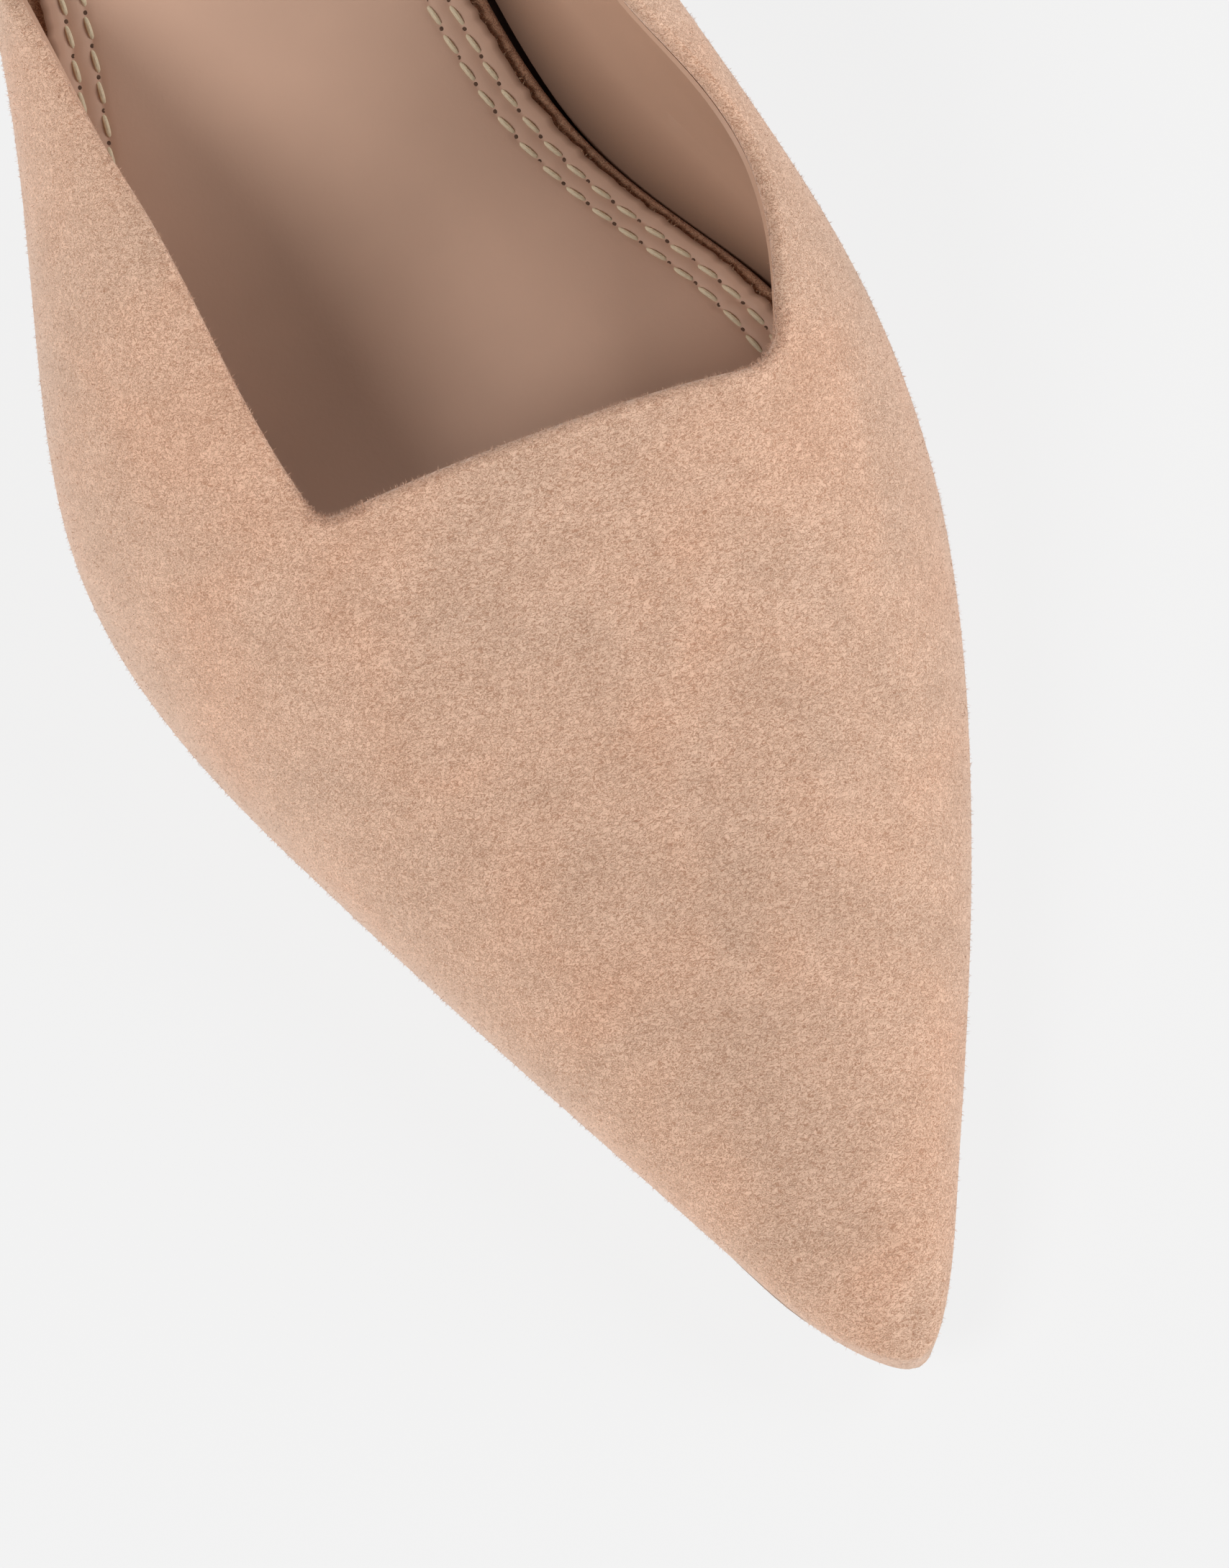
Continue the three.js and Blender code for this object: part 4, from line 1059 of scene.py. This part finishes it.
class PUMP_OT_sole(PumpOperator, bpy.types.Operator):
    """Adds the thin sole with its edges eased"""

    bl_idname = "pump.sole"
    bl_label = "Sole"

    def execute(self, context):
        # Thermoplastic rubber, moulded in the suede's colour family: even, half matt.
        material = plain_material(
            "sole_moulded_rubber", linear("#8a6f5c"), linear("#9a7f6a"), 1.2, Roughness=0.55)
        stations = end_rounded(SOLE_INSET + GLUE, LENGTH - SOLE_INSET - GLUE, 1.6)
        top = sole_grid(stations, lambda at: float(level(at, -SOLE_GAP)))
        bottom = sole_grid(stations, lambda at: max(0.0, float(level(at, sole_depth(at)))))
        sole = add_shell("sole", top, bottom, material, "outsole", slot="sole")
        bevelled(sole, 0.45)
        return {"FINISHED"}


HEEL_BREAST = 193.0  # front of the heel at its top
TIP_HALF_WIDTH, TIP_FRONT, TIP_BACK = 5.0, 219.3, 229.8
HEEL_TOP_HALF = BALL_WIDTH * (0.388 + 0.243) / 2 - SOLE_INSET
HEEL_TOP_BACK = LENGTH - SOLE_INSET
HEEL_FOOT = 5.8  # height of the cover's lower end, over the tip
TIP_HEIGHT = 5.5
COVER_FACE, COVER_BACK, TIP_FACE = 1.1, 0.35, 0.95  # how far each face stands out from the heel's core
# Shares of the way from the tip's measures to the top's, by share of the heel's height.
heel_width_share = spline(
    (0, 0), (0.15, 0.01), (0.35, 0.065), (0.55, 0.196), (0.75, 0.46), (0.9, 0.79), (1, 1))
heel_front_share = spline((0, 0), (0.15, 0.03), (0.35, 0.09), (0.55, 0.17), (0.7, 0.27), (0.85, 0.5), (1, 1))
heel_back_share = spline((0, 0), (0.15, -0.03), (0.35, 0), (0.55, 0.12), (0.75, 0.4), (0.9, 0.75), (1, 1))


def heel_loop(share, grow, count=96):
    """D-shaped section of the heel, its breast corners eased, from the breast's middle round the back."""
    half = TIP_HALF_WIDTH + (HEEL_TOP_HALF - TIP_HALF_WIDTH) * float(heel_width_share(share)) + grow
    front = TIP_FRONT + (HEEL_BREAST - TIP_FRONT) * float(heel_front_share(share)) - grow
    back = TIP_BACK + (HEEL_TOP_BACK - TIP_BACK) * float(heel_back_share(share)) + grow
    turn = np.linspace(0, math.pi, 160)
    round_x, round_y = -np.cos(turn) * half, front + (back - front) * np.sin(turn) ** 0.8
    seam, breast = 0.3, np.full(40, front)
    x = np.concatenate([np.linspace(-seam, -half, 40), round_x[1:-1], np.linspace(half, seam, 40)])
    y = np.concatenate([breast, round_y[1:-1], breast])
    run = np.concatenate([[0], np.cumsum(np.hypot(np.diff(x), np.diff(y)))])
    at = np.linspace(0, run[-1], count)
    x, y = np.interp(at, run, x), np.interp(at, run, y)
    for _ in range(3):
        x[1:-1] = (x[:-2] + 2 * x[1:-1] + x[2:]) / 4
        y[1:-1] = (y[:-2] + 2 * y[1:-1] + y[2:]) / 4
    return x + HEEL_MIDDLE, y


def heel_grid(grow):
    """Loops of points from the heel's foot up to the sole."""
    rows = []
    for share in np.linspace(0, 1, 90):
        x, y = heel_loop(share, grow)
        top = level(y, sole_depth(y) - SOLE_GAP)
        rows.append(np.stack([x, y, HEEL_FOOT + (top - HEEL_FOOT) * share], -1))
    return np.array(rows)


class PUMP_OT_heel(PumpOperator, bpy.types.Operator):
    """Adds the heel's suede cover, seamed down the breast, and the heel tip"""

    bl_idname = "pump.heel"
    bl_label = "Heel"

    def execute(self, context):
        add_shell("heel_covering", heel_grid(COVER_FACE), heel_grid(COVER_BACK), upper_suede(), "heel_cover",
                  slot="suede")
        # Polyurethane, moulded hard: near black, with a low even gloss.
        tip = plain_material(
            "heel_tip_moulded_polyurethane", linear("#3a3029"), linear("#463a31"), 1.0, Roughness=0.45)
        x, y = heel_loop(0, TIP_FACE, 72)
        outline = to_frame(np.column_stack([x, y, np.zeros(len(x))])[:-1])
        bpy.ops.object.select_all(action="DESELECT")
        bpy.ops.mesh.primitive_circle_add(vertices=len(outline), radius=0.006, fill_type="NGON")
        piece = bpy.context.active_object
        piece.name = piece.data.name = "heel_tip_lift"
        for vertex, (px, py, _) in zip(piece.data.vertices, outline):
            vertex.co = (px, py, 0)
        piece.matrix_world = Matrix.Identity(4)
        bpy.ops.object.mode_set(mode="EDIT")
        bpy.ops.mesh.select_all(action="SELECT")
        bpy.ops.mesh.extrude_region_move(TRANSFORM_OT_translate={"value": (0, 0, TIP_HEIGHT / 1000)})
        bpy.ops.object.mode_set(mode="OBJECT")
        finish_piece(piece, tip, "heel_tip", slot="tip")
        bevelled(piece, 0.4)
        return {"FINISHED"}


# ---- Pieces inside the shoe, kept as they are ----
# Each finish: its nodes, its two shades, the size in millimetres of its mottle, and the shader's settings.
INNER_FINISHES = {
    # Cellulose board, pressed: brown, dull and a little fibrous.
    "insole_fibre_board": (("insole_board",), "#8a6c4b", "#a8855f", 1.5, {"Roughness": 0.9}),
    # Foamed latex: cream, matt, with small open cells.
    "latex_foam": (("sock_foam",), "#d0c3ab", "#e6dcc8", 0.9, {"Roughness": 0.95}),
    # Cork, ground and bound: 2 mm crumbs, light and dark.
    "cork_filler": (("bottom_filler",), "#6f5237", "#a17a52", 2.0, {"Roughness": 0.95}),
    # ABS, moulded: off-white and smooth, with a soft gloss.
    "abs_moulded": (("heel_core", "counter_stiffener"), "#ddd6c8", "#eee8dc", 6.0, {"Roughness": 0.5}),
    # Steel, zinc plated: grey metal with a faint cloudiness.
    "steel_zinc_plated": (
        ("shank", "shank_rivet_front", "shank_rivet_back", "heel_tube", "heel_tip_pin", "heel_screw",
         "heel_nail_1", "heel_nail_2", "heel_nail_3", "heel_nail_4"),
        "#a0a3a6", "#b9bbbd", 3.0, {"Roughness": 0.35, "Metallic": 1.0}),
}


class PUMP_OT_inside(PumpOperator, bpy.types.Operator):
    """Gives the stiffeners, board, foam, shank, heel core and fasteners their own materials"""

    bl_idname = "pump.inside"
    bl_label = "Inside"

    def execute(self, context):
        for name, (nodes, dark, light, patch, settings) in INNER_FINISHES.items():
            material = plain_material(name, linear(dark), linear(light), patch, **settings)
            for node in nodes:
                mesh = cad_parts[node].data
                mesh.materials.clear()
                mesh.materials.append(material)
        return {"FINISHED"}


# ---- Studio ----
CAMERA = {  # the target is in the last's millimetres
    "azimuth": -24.02, "elevation": 70.25, "distance": 734.1, "lens": 171.29, "target": (-5.87, 60.81, 30),
}
LIGHTS_AIM = Vector((0, 0, 0.03))
LIGHTS = {  # width in metres, power in watts and place
    "key_softbox": (0.45, 6.6, (-0.66, -0.26, 0.8)),
    "side_softbox": (0.6, 6.0, (1.0, -0.45, 0.28)),
    "far_softbox": (0.5, 3.2, (0.7, -0.1, 0.85)),
}


def soft_light(name, size, power, place):
    """Adds a round area light that faces the shoe."""
    light = bpy.data.lights.new(name, "AREA")
    light.shape, light.size, light.energy = "DISK", size, power
    lamp = bpy.data.objects.new(name, light)
    lamp.location = place
    lamp.rotation_euler = (Vector(place) - LIGHTS_AIM).to_track_quat("Z", "Y").to_euler()
    bpy.context.scene.collection.objects.link(lamp)


def studio_world(pale):
    """Pale walls round the horizon, dimmer above, so that the inside of the shoe stays in shade."""
    world = bpy.data.worlds.new("studio_walls")
    world.use_nodes = True
    background = world.node_tree.nodes["Background"]
    way = add_node(world, "ShaderNodeTexCoord").outputs["Generated"]
    height = add_node(world, "ShaderNodeSeparateXYZ", {"Vector": way}).outputs["Z"]
    dim = tinted(pale, 0.03)
    shade = ramp(world, height, (0.0, pale), (0.12, pale), (0.45, dim), (1.0, dim))
    world.node_tree.links.new(shade, background.inputs["Color"])
    background.inputs["Strength"].default_value = 1.9
    return world


class PUMP_OT_stage(PumpOperator, bpy.types.Operator):
    """Adds the pale floor, the soft lights and the camera"""

    bl_idname = "pump.stage"
    bl_label = "Stage"

    def execute(self, context):
        scene = context.scene
        pale = tuple(colours().floor)
        bpy.ops.object.select_all(action="DESELECT")
        bpy.ops.mesh.primitive_grid_add(x_subdivisions=2, y_subdivisions=2, size=8, location=(0, 0, -0.0002))
        floor = context.active_object
        floor.name = "studio_floor"
        # Matt paper, lit from within as well: it stays pale and even, with hardly a shadow.
        material, _, _ = new_material(
            "floor_matt_paper", Roughness=0.95, Specular_IOR_Level=0, Base_Color=(*tinted(pale, 0.08), 1),
            Emission_Color=(*pale, 1), Emission_Strength=0.93)
        floor.data.materials.append(material)
        scene.world = studio_world(pale)
        for name, (size, power, place) in LIGHTS.items():
            soft_light(name, size, power, place)

        azimuth, elevation = (math.radians(CAMERA[key]) for key in ("azimuth", "elevation"))
        flat = math.cos(elevation)
        back = Vector((math.sin(azimuth) * flat, -math.cos(azimuth) * flat, math.sin(elevation)))
        right = Vector((math.cos(azimuth), math.sin(azimuth), 0))
        target = Vector(to_frame(CAMERA["target"]))
        camera = bpy.data.objects.new("camera", bpy.data.cameras.new("camera"))
        camera.data.sensor_fit = "VERTICAL"
        camera.data.sensor_height = 36
        camera.data.lens = CAMERA["lens"]
        camera.data.clip_end = 20
        turn = Matrix((right, back.cross(right), back)).transposed()
        place = Matrix.Translation(target + back * CAMERA["distance"] / 1000)
        camera.matrix_world = place @ turn.to_4x4()
        scene.collection.objects.link(camera)
        scene.camera = camera
        scene.view_settings.view_transform = "Standard"
        return {"FINISHED"}


class PUMP_PT_sidebar(bpy.types.Panel):
    """The pump's pieces and settings"""

    bl_idname = "PUMP_PT_sidebar"
    bl_label = "High Heel Pump"
    bl_space_type = "VIEW_3D"
    bl_region_type = "UI"
    bl_category = "Pump"

    def draw(self, context):
        for operator in OPERATORS:
            self.layout.operator(operator.bl_idname)
        for group in (context.scene.pump_colours, context.scene.pump_sizes):
            for name in group.bl_rna.properties.keys():
                if name not in ("rna_type", "name"):
                    self.layout.prop(group, name)


OPERATORS = (
    PUMP_OT_vamp, PUMP_OT_heel_cup, PUMP_OT_insole, PUMP_OT_sole, PUMP_OT_heel, PUMP_OT_inside, PUMP_OT_stage,
)
CLASSES = (PumpColours, PumpSizes, *OPERATORS, PUMP_PT_sidebar)


def register():
    for cls in CLASSES:
        bpy.utils.register_class(cls)
    bpy.types.Scene.pump_colours = bpy.props.PointerProperty(type=PumpColours)
    bpy.types.Scene.pump_sizes = bpy.props.PointerProperty(type=PumpSizes)


def unregister():
    del bpy.types.Scene.pump_sizes
    del bpy.types.Scene.pump_colours
    for cls in reversed(CLASSES):
        bpy.utils.unregister_class(cls)


def main():
    """Builds every piece and the stage."""
    register()
    for operator in OPERATORS:
        group, name = operator.bl_idname.split(".")
        getattr(getattr(bpy.ops, group), name)()


if __name__ == "__main__":
    main()
